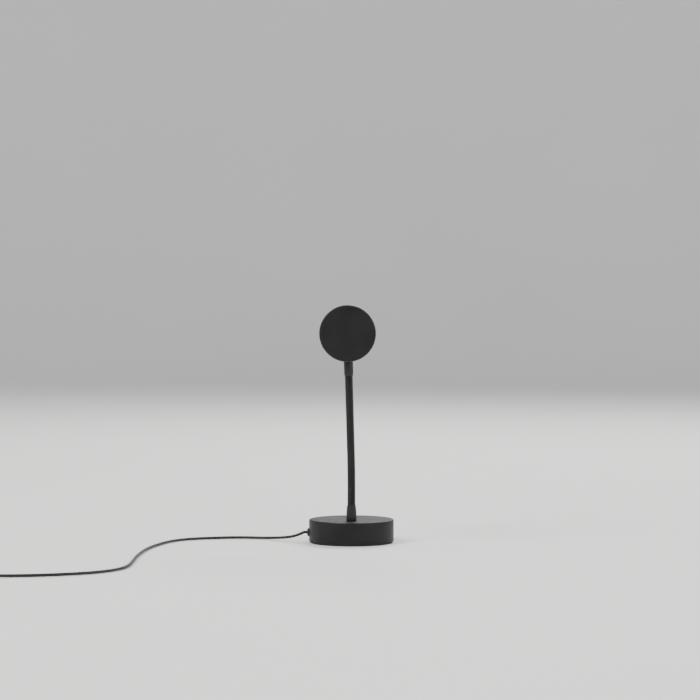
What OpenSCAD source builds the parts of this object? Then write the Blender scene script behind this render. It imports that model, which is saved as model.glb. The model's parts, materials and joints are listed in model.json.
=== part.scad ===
// Sunset projection lamp for a table: a weighted round base, a gooseneck, a
// cylindrical projector head, and a low-voltage lead with an inline switch and a
// USB-A plug. Millimetres. Z is up, the beam leaves along +Y, the lead along -X.

/* [Base] */
// Diameter of the base
base_d = 90; // [80:1:110]
// Height of the base's top face above the table
base_h = 24.5; // [22.5:0.5:34]
// Side wall of the base shell
shell_wall = 2.2; // [1.6:0.1:3]
// Top wall of the base shell
shell_top = 2.5; // [2:0.1:4]
// Round on the shell's upper edge
shell_round = 1.4; // [0.6:0.1:2]
// Thickness of the foot pad
pad_t = 1.5; // [1:0.1:2.2]
// How far the foot pad lies in from the shell's side
pad_inset = 1; // [0.5:0.1:3]
// Thickness of the bottom plate
plate_t = 1.5; // [1.2:0.1:2.2]
// How far the steel weight lies in from the shell's side
weight_inset = 7; // [5:0.5:12]
// How far the plate screws stand in from the shell's side
screw_inset = 15; // [12:0.5:18]
// How far the neck stands behind the middle of the base
neck_back = 20; // [14:1:24]

/* [Neck] */
// Outside diameter of the wound neck
neck_d = 8.7; // [7.5:0.1:10]
// Bore of the neck for its lead
neck_bore = 4.2; // [4:0.1:4.8]
// Height of one joint of the neck
link_len = 9; // [8:0.25:12]
// Turns of the winding that show on one joint
link_turns = 4; // [3:1:5]
// Radius of the rounded crest of one turn
turn_r = 1.3; // [1.2:0.05:2]
// How far the whole neck bends each way
neck_bend = 90; // [60:5:100]
// How far the neck leans to the left as it stands
neck_lean = 1.6; // [0:0.1:3]
// Height of the lower ferrule above the base
lower_ferrule_h = 17; // [14:0.5:25]
// How far the lower ferrule stands out from the neck
lower_ferrule_wall = 1.05; // [0.6:0.05:2]
// Length of the upper ferrule from the last joint to the head
upper_ferrule_h = 16.5; // [12:0.5:25]
// How far the upper ferrule stands out from the neck
upper_ferrule_wall = 0.55; // [0.5:0.05:1.5]
// Thread diameter of both ferrules' stems
stem_d = 8; // [7:0.5:9]

/* [Head] */
// Diameter of the head
head_d = 59.2; // [54:0.2:72]
// Length of the head along the beam
head_len = 70; // [66:1:90]
// Wall of the head's barrel
barrel_wall = 2.1; // [1.5:0.1:3]
// How far the neck stands in from the head's rear face
neck_from_rear = 26; // [26:0.5:30]
// Thickness of the rear cap
cap_t = 4; // [3:0.5:5]
// Number of cooling grooves
groove_count = 3; // [2:1:3]
// Width of a cooling groove and of the fins beside it
fin_t = 1.6; // [1.2:0.1:1.8]
// Depth of a cooling groove
fin_depth = 4; // [2:0.5:6]
// Thickness of the front bezel's face ring
bezel_t = 4; // [3:0.5:6]
// Width of the front bezel's face ring
bezel_w = 4; // [3.6:0.1:6]

/* [Optics] */
// Distance from the rear face to the back of the circuit board
led_setback = 24; // [22:0.5:26]
// Diameter of the light's circuit board
led_board_d = 26; // [25:0.5:30]
// Thickness of a circuit board
board_t = 1.6; // [1:0.1:2]
// Thickness of the main lens at its middle
lens_t = 15.5; // [12:0.5:17]
// Thickness of the main lens at its rim
lens_edge = 3; // [2:0.5:4]
// Diameter of the colour filter
filter_d = 34; // [30:0.5:38]
// Thickness of the colour filter
filter_t = 1.1; // [0.7:0.1:1.5]
// Diameter of the condenser lens
condenser_d = 18; // [16:0.5:20]
// Thickness of the condenser lens at its middle
condenser_t = 5.5; // [4:0.25:6]

/* [Lead] */
// Diameter of the lead
lead_d = 3; // [2.5:0.1:3]
// Height of the lead's outlet above the table
exit_h = 10.5; // [9.5:0.25:12]
// How far the outlet's bush stands out of the shell
bush_out = 2.2; // [1.5:0.1:4]
// Diameter of the bush where it meets the shell
bush_d = 9; // [8:0.25:11]
// Diameter of the bush at its mouth
bush_mouth_d = 4.8; // [4.2:0.1:6]

/* [Switch and plug] */
// Length of the switch's case
case_l = 46; // [40:1:60]
// Width of the switch's case
case_w = 17; // [15:0.5:24]
// Height of the switch's case
case_h = 10.5; // [10:0.25:14]
// Wall of the switch's case
case_wall = 1.4; // [1.2:0.1:1.8]
// Diameter of the push button
button_d = 8.6; // [7:0.1:10]
// How far the push button stands out of the case
button_out = 2; // [1.6:0.1:3]
// How far the push button travels
button_travel = 1.3; // [0.8:0.1:1.5]
// Length of the plug's moulded grip
grip_l = 22; // [18:1:30]
// Width of the plug's moulded grip
grip_w = 15.6; // [15:0.2:20]
// Thickness of the plug's moulded grip
grip_t = 8; // [7.4:0.2:10]

/* [Hidden] */
$fn = 64;
GAP = 0.1; // between parts that seat in each other
SEAT = 0.2; // between a lens or a loose part and its seat
EPS = 0.01; // overrun of a cut past the face that it leaves by
seam = 0.25; // chamfer along each edge where two turned parts meet
rim_steps = 4; // facets across the round rim of a moulded box

joint_count = 16; // eight tip the head forward and back, and eight to the sides
link_count = joint_count - 1;

// Base, from the table up
base_r = base_d / 2;
plate_top = pad_t + plate_t;
weight_top = exit_h - lead_d / 2 - SEAT;
ceiling = base_h - shell_top;
screw_r = base_r - screw_inset;
screw_angles = [90, 210, 330];
plate_screw_d = 3;
plate_screw_head_d = 5.8;
plate_screw_bite = 7; // into the shell's boss, past the weight
boss_d = 8;
driver_size = [26, 16];
driver_at = [6, 4];
driver_z = weight_top + 4.2;
driver_screw_at = [[-4, 9], [16, -1]];
small_screw_d = 2.5;
small_head_d = 4.4;
small_head_h = 1.4;
terminal_h = 3.2;
terminal_feed = [[-7, -3], [4.5, 6]]; // corner and size of the supply's terminal
terminal_neck = [[-2, -4], [6, 4.5]]; // corner and size of the neck's terminal
stand_d = 5;

// Neck
neck_r = neck_d / 2;
bore_r = neck_bore / 2;
neck_y = -neck_back;
joint_bend = neck_bend / (joint_count / 2);
face_angle = joint_bend / 2 + 1.9; // slope of a joint's faces, so they never meet
turn_pitch = link_len / link_turns;
lean_from = 1; // the neck is straight up to this joint
lean_to = 6; // and has its whole lean from this joint on
stem_r = stem_d / 2;
washer_t = 1.2;
washer_d = 16;
nut_h = 5;
nut_flats = 13;
stem_past = 1; // length of stem that shows past a nut
lower_taper = 11; // length over which a ferrule draws in towards the neck
upper_taper = 4;
lower_stem_l = shell_top + washer_t + nut_h + stem_past;
neck_lead_d = 2.8;

// Head, measured along the beam from its rear face
head_r = head_d / 2;
barrel_r = head_r - barrel_wall;
barrel_from = cap_t + (2 * groove_count + 1) * fin_t;
barrel_to = head_len - bezel_t;
spigot_l = 2.4;
sink_recess_r = 18;
sink_boss_r = led_board_d / 2 + 1;
spot_depth = 0.6; // flat cut into the barrel for the ferrule to seat on
head_up = upper_ferrule_h - spot_depth + head_r; // from the last joint to the axis
saddle_top = 5.5; // inner flat of the saddle, measured in from the barrel's bore
saddle_l = 14;
saddle_w = 18;
head_nut_h = 4;
upper_stem_l = barrel_wall - spot_depth + saddle_top + head_nut_h + stem_past;
led_front = led_setback + board_t;
led_screw_x = 10.2;
emitter_r = 3.5;
lens_back = head_len - 0.5 - lens_t;
seat_t = 2;
seat_in = 3; // width of the shoulder that the main lens sits on
lens_rim = 2; // flat rim that the gasket presses on
gasket_t = 1.2;
bezel_bore_r = head_r - bezel_w;

// Optic holder, measured from the front of the light's circuit board
flange_t = 1.5;
throat_r = 6;
condenser_s = 5.9;
filter_s = 13.4;
holder_l = 16.8;
holder_wall = 1.5;

// Lead. The route's points are measured from the bush's mouth, and those from the
// third on lie on the table.
lead_r = lead_d / 2;
mouth_x = -(base_r + bush_out);
rest_h = lead_r + 0.05;
route = [
    [0, 0, exit_h], [-3, 0, exit_h], [-8, 0.4, exit_h - 2.2], [-15, 3.5, 5.8],
    [-24, 10, 3.9], [-34, 19, 2.6], [-46, 27, 1.7], [-61, 32, 1.55],
    [-78, 33, 1.55], [-95, 29.5, 1.55], [-111, 24, 1.55], [-126, 16.5, 1.55],
    [-138, 4, 1.55], [-147, -14, 1.55], [-154, -37, 1.55], [-160, -64, 1.55],
    [-164, -94, 1.55], [-166, -124, 1.55], [-167, -154, 1.55],
    [-167, -184, 1.55], [-167, -212, 1.55], [-168, -236, 1.55],
    [-173, -258, 1.55], [-184, -278, 1.55], [-201, -294, 1.55],
    [-222, -305, 1.55], [-245, -312.5, 1.55], [-268, -316.5, 1.6],
    [-289, -318, 1.9]];
coil_at = [-313, -294];
coil_r = 24.4; // of the outer turn's middle line
coil_pitch = 3.5;
coil_turns = 7.25;
coil_steps = 24; // rings to a turn
coil_low = 2.25; // height of the lower layer
coil_high = coil_low + coil_pitch;
coil_end = lead_d; // straight stretch at each end of the coil
tie_t = 0.6;
tie_w = 6;
tail_x = coil_at[0] - coil_r;
case_y = coil_at[1] + 27; // where the switch's case starts
tail_gap = 20; // length of lead between the switch and the plug
case_mid = 5.2; // height of the seam and of the lead in the switch
collar_l = 5;
collar_d = 6.4;
collar_groove_x = 1.4;
collar_groove_w = 0.6;
button_dish = 0.35; // depth of the finger dish in the button's top
button_sink = 0.5; // depth of the chamfer round the button's hole
button_wall = 1.4;
flange_d = button_d + 2.2;
core_size = [8, 8, 3.6];
spring_r = 2.7;
spring_wire = 0.5;
spring_turns = 2.5;
sleeve_l = 6; // of the grip's length, the sleeve on the lead
usb_w = 12;
usb_t = 4.5;
usb_l = 12;
usb_wall = 0.35;
usb_in = 5; // length of the shell inside the grip
tongue_t = 1.9;

function two(i) = str(i < 10 ? "0" : "", i);
function link_name(i) = str("neck_link_", two(i));
function unit(v) = v / norm(v);
function clamp01(x) = max(0, min(1, x));
function ease(x) = clamp01(x) * clamp01(x) * (3 - 2 * clamp01(x));

// Lean of the neck above joint i, and where joint i stands
function lean(i) = neck_lean * ease((i - lean_from) / (lean_to - lean_from));
function joint_at(i) = i == 0
    ? [0, neck_y, base_h + lower_ferrule_h]
    : joint_at(i - 1) + link_len * [-sin(lean(i - 1)), 0, cos(lean(i - 1))];

// A point on the smooth curve through four points, at u from the second to the third
function curve_at(a, b, c, d, u) = 0.5 * (2 * b + (c - a) * u
    + (2 * a - 5 * b + 4 * c - d) * u * u + (3 * b - a - 3 * c + d) * u * u * u);
function smooth(p, n) = concat(
    [for (i = [0:len(p) - 2]) for (k = [0:n - 1])
        curve_at(p[max(i - 1, 0)], p[i], p[i + 1], p[min(i + 2, len(p) - 1)], k / n)],
    [p[len(p) - 1]]);
function up_neck() = [-sin(neck_lean), 0, cos(neck_lean)];
function head_axis() = joint_at(link_count) + head_up * up_neck();
function heading(p, i) = unit(p[min(i + 1, len(p) - 1)] - p[max(i - 1, 0)]);

// The coil: in at a steady rate on the lower layer, up in the half turn where it
// reverses, and out again on the upper layer
function coil_radius(t) = coil_r - coil_pitch * min(t, coil_turns - t);
function coil_height(t) = coil_low
    + (coil_high - coil_low) * ease((t - coil_turns / 2) / 0.5 + 0.5);
function coil_point(t) = [
    coil_at[0] - coil_radius(t) * sin(360 * t),
    coil_at[1] - coil_radius(t) * cos(360 * t),
    coil_height(t)];
coil_count = round(coil_turns * coil_steps);
coil_path = concat(
    [[coil_at[0] + coil_end, coil_at[1] - coil_r, coil_low]],
    [for (i = [0:coil_count]) coil_point(i / coil_steps)],
    [[tail_x, coil_at[1] + coil_end, coil_high]]);
coil_least = min([for (i = [0:len(coil_path) - 1])
    for (j = [i + coil_steps / 2:1:len(coil_path) - 1])
        norm(coil_path[i] - coil_path[j])]) - lead_d;
echo(str("least gap between the coil's turns: ", coil_least, " mm"));

// A tube of n sides along the points p, whose ends face t0 and t1. side is any
// direction that the tube never follows.
module tube(p, r, n, side, t0, t1) {
    last = len(p) - 1;
    rings = [for (i = [0:last])
        let (t = i == 0 ? t0 : i == last ? t1 : heading(p, i),
             s = unit(cross(side, t)), u = cross(t, s))
        for (k = [0:n - 1])
            p[i] + r * (cos(360 * k / n) * s + sin(360 * k / n) * u)];
    wall = [for (i = [0:last - 1]) for (k = [0:n - 1])
        let (a = i * n + k, b = i * n + (k + 1) % n)
        for (f = [[a, a + n, b], [b, a + n, b + n]]) f];
    ends = [for (k = [1:n - 2])
        for (f = [[0, k, k + 1], [last * n, last * n + k + 1, last * n + k]]) f];
    polyhedron(rings, concat(wall, ends));
}

// A rectangle with round corners about its middle, in exact arcs
module rounded_rect(x, y, r) {
    square([x - 2 * r, y], center = true);
    square([x, y - 2 * r], center = true);
    for (sx = [-1, 1]) for (sy = [-1, 1])
        translate([sx * (x / 2 - r), sy * (y / 2 - r)]) circle(r);
}

// A box with round upright edges of radius r and rounds of radius low and high on its
// lower and upper rims, in steps
module soft_box(x, y, z, r, low, high) {
    hull() for (k = [0:rim_steps]) {
        along = 1 - sin(90 * k / rim_steps);
        up = 1 - cos(90 * k / rim_steps);
        translate([0, 0, low * up]) linear_extrude(z / 2 - low * up)
            inset_rect(x, y, r, low * along);
        translate([0, 0, z / 2]) linear_extrude(z / 2 - high * up)
            inset_rect(x, y, r, high * along);
    }
}

module inset_rect(x, y, r, by) {
    rounded_rect(x - 2 * by, y - 2 * by, r - by, $fn = 32);
}

// Cuts the seam's small chamfer off a profile's corner
module seam_at(r, z) {
    translate([r, z]) circle(seam, $fn = 4);
}

module screw(d, l, head_d, head_h, flat_head = false) {
    if (flat_head) cylinder(head_h, head_d / 2, d / 2);
    else difference() {
        translate([0, 0, -head_h]) cylinder(head_h, d = head_d);
        translate([0, 0, -head_h - EPS]) cylinder(head_h / 2, d = d, $fn = 6);
    }
    cylinder(l, d = d);
}

module hex_nut(h, flats, bore_d) {
    difference() {
        cylinder(h, d = flats / cos(30), $fn = 6);
        translate([0, 0, -EPS]) cylinder(h + 2 * EPS, d = bore_d);
    }
}

module at_plate_screws() {
    for (a = screw_angles) rotate(a) translate([screw_r, 0, 0]) children();
}

module at_driver_screws() {
    for (p = driver_screw_at) translate([p[0], p[1], 0]) children();
}

module at_joint(i) {
    translate(joint_at(i)) rotate([0, -lean(i), 0]) children();
}

// The head's frame: z along the beam from the rear face, y down to the neck
module in_head(s = 0) {
    at_joint(link_count) translate([0, s - neck_from_rear, head_up])
        rotate([-90, 0, 0]) children();
}

// A round passage through the head's underside, on the neck's axis
module neck_passage(r) {
    at_joint(link_count) translate([0, 0, upper_ferrule_h - 1])
        cylinder(head_r - bore_r, r = r);
}

// Base

module base_shell() {
    color("#1c1c1e") difference() {
        union() {
            rotate_extrude() {
                difference() {
                    union() {
                        translate([0, pad_t])
                            square([base_r, base_h - pad_t - shell_round]);
                        square_to(base_r - shell_round, pad_t, base_h);
                        translate([base_r - shell_round, base_h - shell_round])
                            circle(shell_round);
                    }
                    square_to(base_r - shell_wall, 0, ceiling);
                    seam_at(base_r, pad_t);
                }
            }
            at_plate_screws() translate([0, 0, weight_top])
                cylinder(ceiling - weight_top + EPS, d = boss_d);
            at_driver_screws() translate([0, 0, driver_z + board_t])
                cylinder(ceiling - driver_z - board_t + EPS, d = stand_d);
        }
        at_plate_screws() translate([0, 0, weight_top - EPS])
            cylinder(plate_screw_bite + 0.5, d = plate_screw_d + GAP);
        at_driver_screws() translate([0, 0, driver_z])
            cylinder(board_t + 3.2, d = small_screw_d + GAP);
        translate([0, neck_y, ceiling - EPS])
            cylinder(shell_top + 2 * EPS, d = stem_d + 2 * GAP);
        translate([-base_r - 1, 0, exit_h]) rotate([0, 90, 0])
            cylinder(shell_wall + 2, r = bush_neck_r() + GAP);
    }
}

function bush_neck_r() = lead_r + 1.8;

// A rectangle from the axis out to r, between heights a and b
module square_to(r, a, b) {
    translate([0, a]) square([r, b - a]);
}

module base_weight() {
    color("#8b8d90") difference() {
        translate([0, 0, plate_top])
            cylinder(weight_top - plate_top, r = base_r - weight_inset);
        at_plate_screws() translate([0, 0, plate_top - EPS])
            cylinder(weight_top - plate_top + 2 * EPS, d = plate_screw_d + 0.5);
    }
}

module bottom_plate() {
    color("#303236") difference() {
        translate([0, 0, pad_t])
            cylinder(plate_t, r = base_r - shell_wall - 2 * SEAT);
        at_plate_screws() translate([0, 0, pad_t - EPS]) {
            cylinder(plate_t + 2 * EPS, d = plate_screw_d + 2 * GAP);
            cylinder(plate_t, (plate_screw_head_d + 2 * GAP) / 2,
                (plate_screw_d + 2 * GAP) / 2);
        }
    }
}

module plate_screws() {
    color("#b9bcc0") at_plate_screws() translate([0, 0, pad_t + GAP / 2])
        difference() {
            screw(plate_screw_d, weight_top + plate_screw_bite - pad_t,
                plate_screw_head_d, plate_t - GAP / 2, flat_head = true);
            translate([0, 0, -EPS]) cylinder(1, d = 2, $fn = 6);
        }
}

module foot_pad() {
    color("#26262a") cylinder(pad_t, r = base_r - pad_inset);
}

module driver_board() {
    color("#1f6b3c") difference() {
        translate([driver_at[0], driver_at[1], driver_z])
            linear_extrude(board_t) square(driver_size, center = true);
        at_driver_screws() translate([0, 0, driver_z - EPS])
            cylinder(board_t + 2 * EPS, d = small_screw_d + 2 * GAP);
    }
}

// Two terminals under the board, and a coil, a capacitor and a chip on it
module board_parts() {
    color("#2f4f7f") for (t = [terminal_feed, terminal_neck])
        translate([t[0][0], t[0][1], driver_z - terminal_h])
            cube([t[1][0], t[1][1], terminal_h]);
    color("#3a3a3a") translate([3, 1, driver_z + board_t]) cylinder(3.2, d = 7);
    color("#555555") translate([11, 8, driver_z + board_t]) cylinder(3.6, d = 5);
    color("#111111") translate([-4, -1, driver_z + board_t]) cube([4, 5, 1.2]);
}

module driver_screws() {
    color("#b9bcc0") at_driver_screws() translate([0, 0, driver_z])
        screw(small_screw_d, board_t + 3, small_head_d, small_head_h);
}

// The lead's stretch from the bush's mouth to its terminal
module feed_lead() {
    feed_to = terminal_feed[0][0] - 0.3;
    color("#151515") translate([mouth_x, 0, exit_h]) rotate([0, 90, 0])
        cylinder(feed_to - mouth_x, d = lead_d);
}

// A rubber bush turned about the lead: a dome outside the wall, a flange inside,
// and a waist in the wall's hole
module strain_relief() {
    dome_r = bush_d / 2;
    mouth_r = bush_mouth_d / 2;
    sunk = (dome_r * dome_r - mouth_r * mouth_r - bush_out * bush_out)
        / (2 * bush_out); // how far behind the wall's face the dome's middle lies
    color("#0e0e0f") difference() {
        translate([mouth_x, 0, exit_h]) rotate([0, 90, 0]) rotate_extrude()
            difference() {
                union() {
                    intersection() {
                        translate([0, bush_out + sunk]) circle(norm([dome_r, sunk]));
                        square_to(dome_r + 1, 0, bush_out);
                    }
                    square_to(dome_r, bush_out - EPS, bush_out + shell_wall + 1.6);
                }
                square_to(lead_r + GAP / 2, -1, bush_out + shell_wall + 2);
            }
        difference() {
            cylinder(base_h, r = base_r);
            translate([0, 0, -1]) cylinder(base_h + 2, r = base_r - shell_wall - 0.05);
            translate([-base_r - 1, 0, exit_h]) rotate([0, 90, 0])
                cylinder(shell_wall + 2, r = bush_neck_r());
        }
    }
}

module neck_washer() {
    color("#b9bcc0") translate([0, neck_y, ceiling - washer_t]) difference() {
        cylinder(washer_t, d = washer_d);
        translate([0, 0, -EPS]) cylinder(washer_t + 2 * EPS, d = stem_d + 0.4);
    }
}

module neck_nut() {
    color("#b9bcc0") translate([0, neck_y, ceiling - washer_t - nut_h])
        hex_nut(nut_h, nut_flats, stem_d + GAP);
}

// Neck

// A turned sleeve on a threaded stem. Its end beside the joint is a shallow cone.
module ferrule(h, wall, taper, stem) {
    r = neck_r + wall;
    tip_r = neck_r + 0.25;
    tip_h = h - tip_r * tan(face_angle);
    rotate_extrude() difference() {
        union() {
            polygon(concat([[0, 0], [r - seam, 0], [r, seam]],
                [for (u = [0:0.2:1]) [r - (r - tip_r) * u * u,
                    tip_h - taper * (1 - u)]],
                [[0, h]]));
            translate([0, -stem]) square([stem_r, stem + EPS]);
        }
        square_to(bore_r, -stem - 1, h + 1);
    }
}

module neck_ferrule_lower() {
    color("#1a1a1b") translate([0, neck_y, base_h])
        ferrule(lower_ferrule_h, lower_ferrule_wall, lower_taper, lower_stem_l);
}

module neck_ferrule_upper() {
    color("#1a1a1b") at_joint(link_count) translate([0, 0, upper_ferrule_h])
        rotate([180, 0, 0]) ferrule(upper_ferrule_h, upper_ferrule_wall,
            upper_taper, upper_stem_l);
}

// One joint's stretch of the winding: round-crested turns between two sloping faces
module neck_link(i) {
    slope = tan(face_angle);
    out = neck_r + 1;
    color("#202022") at_joint(i - 1) rotate_extrude() intersection() {
        union() {
            square([neck_r - turn_r, link_len]);
            for (k = [0:link_turns - 1])
                translate([neck_r - turn_r, (k + 0.5) * turn_pitch]) circle(turn_r);
        }
        polygon([[bore_r, bore_r * slope], [out, out * slope],
            [out, link_len - out * slope], [bore_r, link_len - bore_r * slope]]);
    }
}

// The lead inside the neck, from the base's board to the light's board
module neck_lead() {
    z = driver_z - terminal_h / 2;
    y = terminal_neck[0][1] - 0.3;
    stem_end = ceiling - lower_stem_l + shell_top;
    into = led_front + neck_lead_d / 2 + 0.3 - neck_from_rear;
    in_base = [
        [0.8, y, z], [0.6, y - 1.5, z], [0, (y + neck_y) / 2, z],
        [0, neck_y + 2.4, z + 0.9], [0, neck_y + 0.6, stem_end - 0.5],
        [0, neck_y, stem_end + 2], [0, neck_y, base_h]];
    in_stem = head_r - spot_depth - upper_stem_l;
    in_head = [
        [0, in_stem + 1.5], [into * 0.7, in_stem - 1.5], [into, in_stem - 4],
        [into, throat_r + holder_wall + 1.8]];
    p = concat(in_base, [for (i = [0:link_count]) joint_at(i)],
        [for (q = in_head) head_axis() + [0, q[0], 0] - q[1] * up_neck()]);
    color("#c8c8c8")
        tube(p, neck_lead_d / 2, 8, [1, 0, 0], [0, -1, 0], up_neck());
}

// Head

module saddle_block() {
    color("#6d7074") difference() {
        in_head(neck_from_rear - saddle_l / 2) intersection() {
            cylinder(saddle_l, r = barrel_r - GAP);
            translate([-saddle_w / 2, barrel_r - saddle_top, -1])
                cube([saddle_w, saddle_top, saddle_l + 2]);
        }
        neck_passage(stem_r + GAP);
    }
}

module head_nut() {
    color("#b9bcc0") at_joint(link_count)
        translate([0, 0, head_up - barrel_r + saddle_top])
            hex_nut(head_nut_h, nut_flats, stem_d + GAP);
}

module rear_cap() {
    edge = 1.5;
    color("#1c1c1e") in_head() {
        rotate_extrude() difference() {
            union() {
                square_to(head_r - edge, 0, cap_t);
                square_to(head_r, edge, cap_t);
                translate([head_r - edge, edge]) circle(edge);
            }
            seam_at(head_r, cap_t);
        }
        translate([0, 0, cap_t - EPS]) cylinder(2 + EPS, r = sink_recess_r - SEAT);
    }
}

// A finned ring with a hub for the light's board and a spigot for the barrel
module heat_sink() {
    color("#2a2b2e") difference() {
        in_head(cap_t) rotate_extrude() difference() {
            union() {
                square_to(head_r, 0, barrel_from - cap_t);
                square_to(barrel_r - GAP, 0, barrel_from - cap_t + spigot_l);
                square_to(sink_boss_r, 0, led_setback - cap_t);
            }
            for (k = [0:groove_count - 1])
                translate([head_r - fin_depth, (2 * k + 1) * fin_t])
                    square([fin_depth + 1, fin_t]);
            for (k = [0:2 * groove_count + 1]) seam_at(head_r, k * fin_t);
            square_to(sink_recess_r, -1, barrel_from - cap_t - 3.2);
            translate([sink_boss_r, barrel_from - cap_t])
                square([barrel_r - 3 - sink_boss_r, spigot_l + 1]);
        }
        in_head(led_setback - 5) at_led_screws()
            cylinder(5 + EPS, d = small_screw_d + GAP);
    }
}

module at_led_screws() {
    for (sx = [-1, 1]) translate([sx * led_screw_x, 0, 0]) children();
}

module head_barrel() {
    color("#1c1c1e") difference() {
        in_head(barrel_from) rotate_extrude() difference() {
            square_to(head_r, 0, barrel_to - barrel_from);
            for (z = [0, barrel_to - barrel_from]) seam_at(head_r, z);
            difference() {
                square_to(barrel_r, -1, barrel_to - barrel_from + 1);
                translate([barrel_r - seat_in, lens_back - seat_t - barrel_from])
                    square([seat_in + 1, seat_t]);
            }
        }
        neck_passage(stem_r + GAP);
        at_joint(link_count) cylinder(upper_ferrule_h,
            r = neck_r + upper_ferrule_wall + GAP);
    }
}

module led_board() {
    color("#e8e8e2") in_head(led_setback) difference() {
        cylinder(board_t, d = led_board_d);
        at_led_screws() translate([0, 0, -EPS])
            cylinder(board_t + 2 * EPS, d = small_screw_d + 2 * GAP);
    }
}

module led_emitter() {
    color("#f2c33c") in_head(led_front) {
        translate([-emitter_r, -emitter_r, 0]) cube([2 * emitter_r, 2 * emitter_r, 1]);
        translate([0, 0, 1 - EPS]) intersection() {
            sphere(emitter_r - 0.4);
            cylinder(emitter_r, r = emitter_r);
        }
    }
}

module led_screws() {
    color("#b9bcc0") in_head(led_front + flange_t) at_led_screws()
        rotate([180, 0, 0])
            screw(small_screw_d, flange_t + board_t + 4.5, small_head_d, small_head_h);
}

// A stepped cup on the light's board that holds the condenser lens and the filter
module optic_holder() {
    seat_r = condenser_d / 2 + GAP;
    cup_r = filter_d / 2 + GAP;
    color("#101011") in_head(led_front) difference() {
        rotate_extrude() polygon([
            [throat_r, 0], [led_board_d / 2, 0], [led_board_d / 2, flange_t],
            [throat_r + holder_wall, flange_t],
            [throat_r + holder_wall, condenser_s - 1.5],
            [seat_r + holder_wall, condenser_s - 0.5],
            [seat_r + holder_wall, condenser_s + 4.5],
            [cup_r + holder_wall, filter_s - 0.5], [cup_r + holder_wall, holder_l],
            [cup_r, holder_l], [cup_r, filter_s], [cup_r - 1.5, filter_s],
            [seat_r, condenser_s + 4.5], [seat_r, condenser_s],
            [throat_r, condenser_s]]);
        translate([-4, throat_r + holder_wall + 0.1, -EPS])
            cube([8, led_board_d / 2, flange_t + 2 * EPS]);
        at_led_screws() translate([0, 0, -EPS])
            cylinder(flange_t + 2 * EPS, d = small_screw_d + 2 * GAP);
    }
}

// A flat-backed lens: a rim of height edge and a dome that starts inside the rim
module flat_lens(r, edge, t, rim) {
    dome_r = r - rim;
    rise = t - edge;
    ball_r = (dome_r * dome_r + rise * rise) / (2 * rise);
    cylinder(edge, r = r);
    intersection() {
        translate([0, 0, t - ball_r]) sphere(ball_r, $fn = 96);
        translate([0, 0, edge / 2]) cylinder(t, r = dome_r);
    }
}

module condenser_lens() {
    color("#cfe6ee") in_head(led_front + condenser_s)
        flat_lens(condenser_d / 2, 1.5, condenser_t, 0.6);
}

module colour_filter() {
    color("#ff8a1f") in_head(led_front + filter_s) cylinder(filter_t, d = filter_d);
}

module filter_ring() {
    color("#3c3c3e") in_head(led_front + filter_s + filter_t) difference() {
        cylinder(1.4, d = filter_d);
        translate([0, 0, -EPS]) cylinder(2, d = filter_d - 4);
    }
}

module main_lens() {
    color("#d8ecf2") in_head(lens_back)
        flat_lens(barrel_r - SEAT, lens_edge, lens_t, lens_rim + bezel_lap());
}

// How far the bezel's skirt laps over the lens, past the flat rim
function bezel_lap() = max(0, barrel_r - SEAT - lens_rim - bezel_bore_r + GAP);

module lens_gasket() {
    color("#0e0e0f") in_head(lens_back + lens_edge) difference() {
        cylinder(gasket_t, r = barrel_r - SEAT);
        translate([0, 0, -EPS]) cylinder(gasket_t + 2 * EPS, r = bezel_bore_r);
    }
}

module front_bezel() {
    edge = 1.2;
    skirt_from = lens_back + lens_edge + gasket_t;
    color("#1c1c1e") in_head() rotate_extrude() difference() {
        union() {
            square_to(barrel_r - GAP, skirt_from, barrel_to + EPS);
            square_to(head_r, barrel_to, head_len - edge);
            square_to(head_r - edge, barrel_to, head_len);
            translate([head_r - edge, head_len - edge]) circle(edge);
        }
        square_to(bezel_bore_r, 0, head_len + 1);
        seam_at(head_r, barrel_to);
        polygon([[bezel_bore_r - 1, head_len - 2.2], [bezel_bore_r, head_len - 1.2],
            [bezel_bore_r + 1.4, head_len + 0.2], [bezel_bore_r - 1, head_len + 0.2]]);
    }
}

// Lead, from the bush to the plug

module from_mouth() {
    translate([mouth_x, 0, 0]) children();
}

module cord_run() {
    path = smooth(concat(route, [[coil_at[0] + coil_end, coil_at[1] - coil_r,
        coil_low]]), 2);
    color("#151515") from_mouth()
        tube(path, lead_r, 8, [0, 0, 1], [-1, 0, 0], [-1, 0, 0]);
}

module cord_coil() {
    color("#151515") from_mouth()
        tube(coil_path, lead_r, 6, [0, 0, 1], [-1, 0, 0], [0, 1, 0]);
}

module cord_tail_switch() {
    from = coil_at[1] + coil_end;
    color("#151515") from_mouth()
        tube(smooth([[tail_x, from, coil_high], [tail_x, from + 8, coil_high],
            [tail_x, case_y - 8, case_mid], [tail_x, case_y, case_mid]], 2),
            lead_r, 8, [0, 0, 1], [0, 1, 0], [0, 1, 0]);
}

module cord_tail_plug() {
    from = case_y + case_l;
    color("#151515") from_mouth()
        tube(smooth([[tail_x, from, case_mid], [tail_x, from + 5, case_mid],
            [tail_x, from + tail_gap - 5, grip_t / 2],
            [tail_x, from + tail_gap, grip_t / 2]], 2),
            lead_r, 8, [0, 0, 1], [0, 1, 0], [0, 1, 0]);
}

// A flat tie round all the turns, on the coil's far side
module coil_tie() {
    inner = coil_radius(3.5) - lead_r - 0.6; // the turns curve in under the tie
    outer = coil_radius(0.5) + lead_r + GAP;
    low = coil_low - lead_r - 0.05;
    high = coil_high + lead_r + 0.05;
    color("#2b2b2d") from_mouth()
        translate([coil_at[0] - tie_w / 2, coil_at[1] + (inner + outer) / 2,
            (low + high) / 2])
            rotate([90, 0, 90]) linear_extrude(tie_w) difference() {
                rounded_rect(outer - inner + 2 * tie_t, high - low + 2 * tie_t, 1.6);
                rounded_rect(outer - inner, high - low, 1);
            }
}

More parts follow.
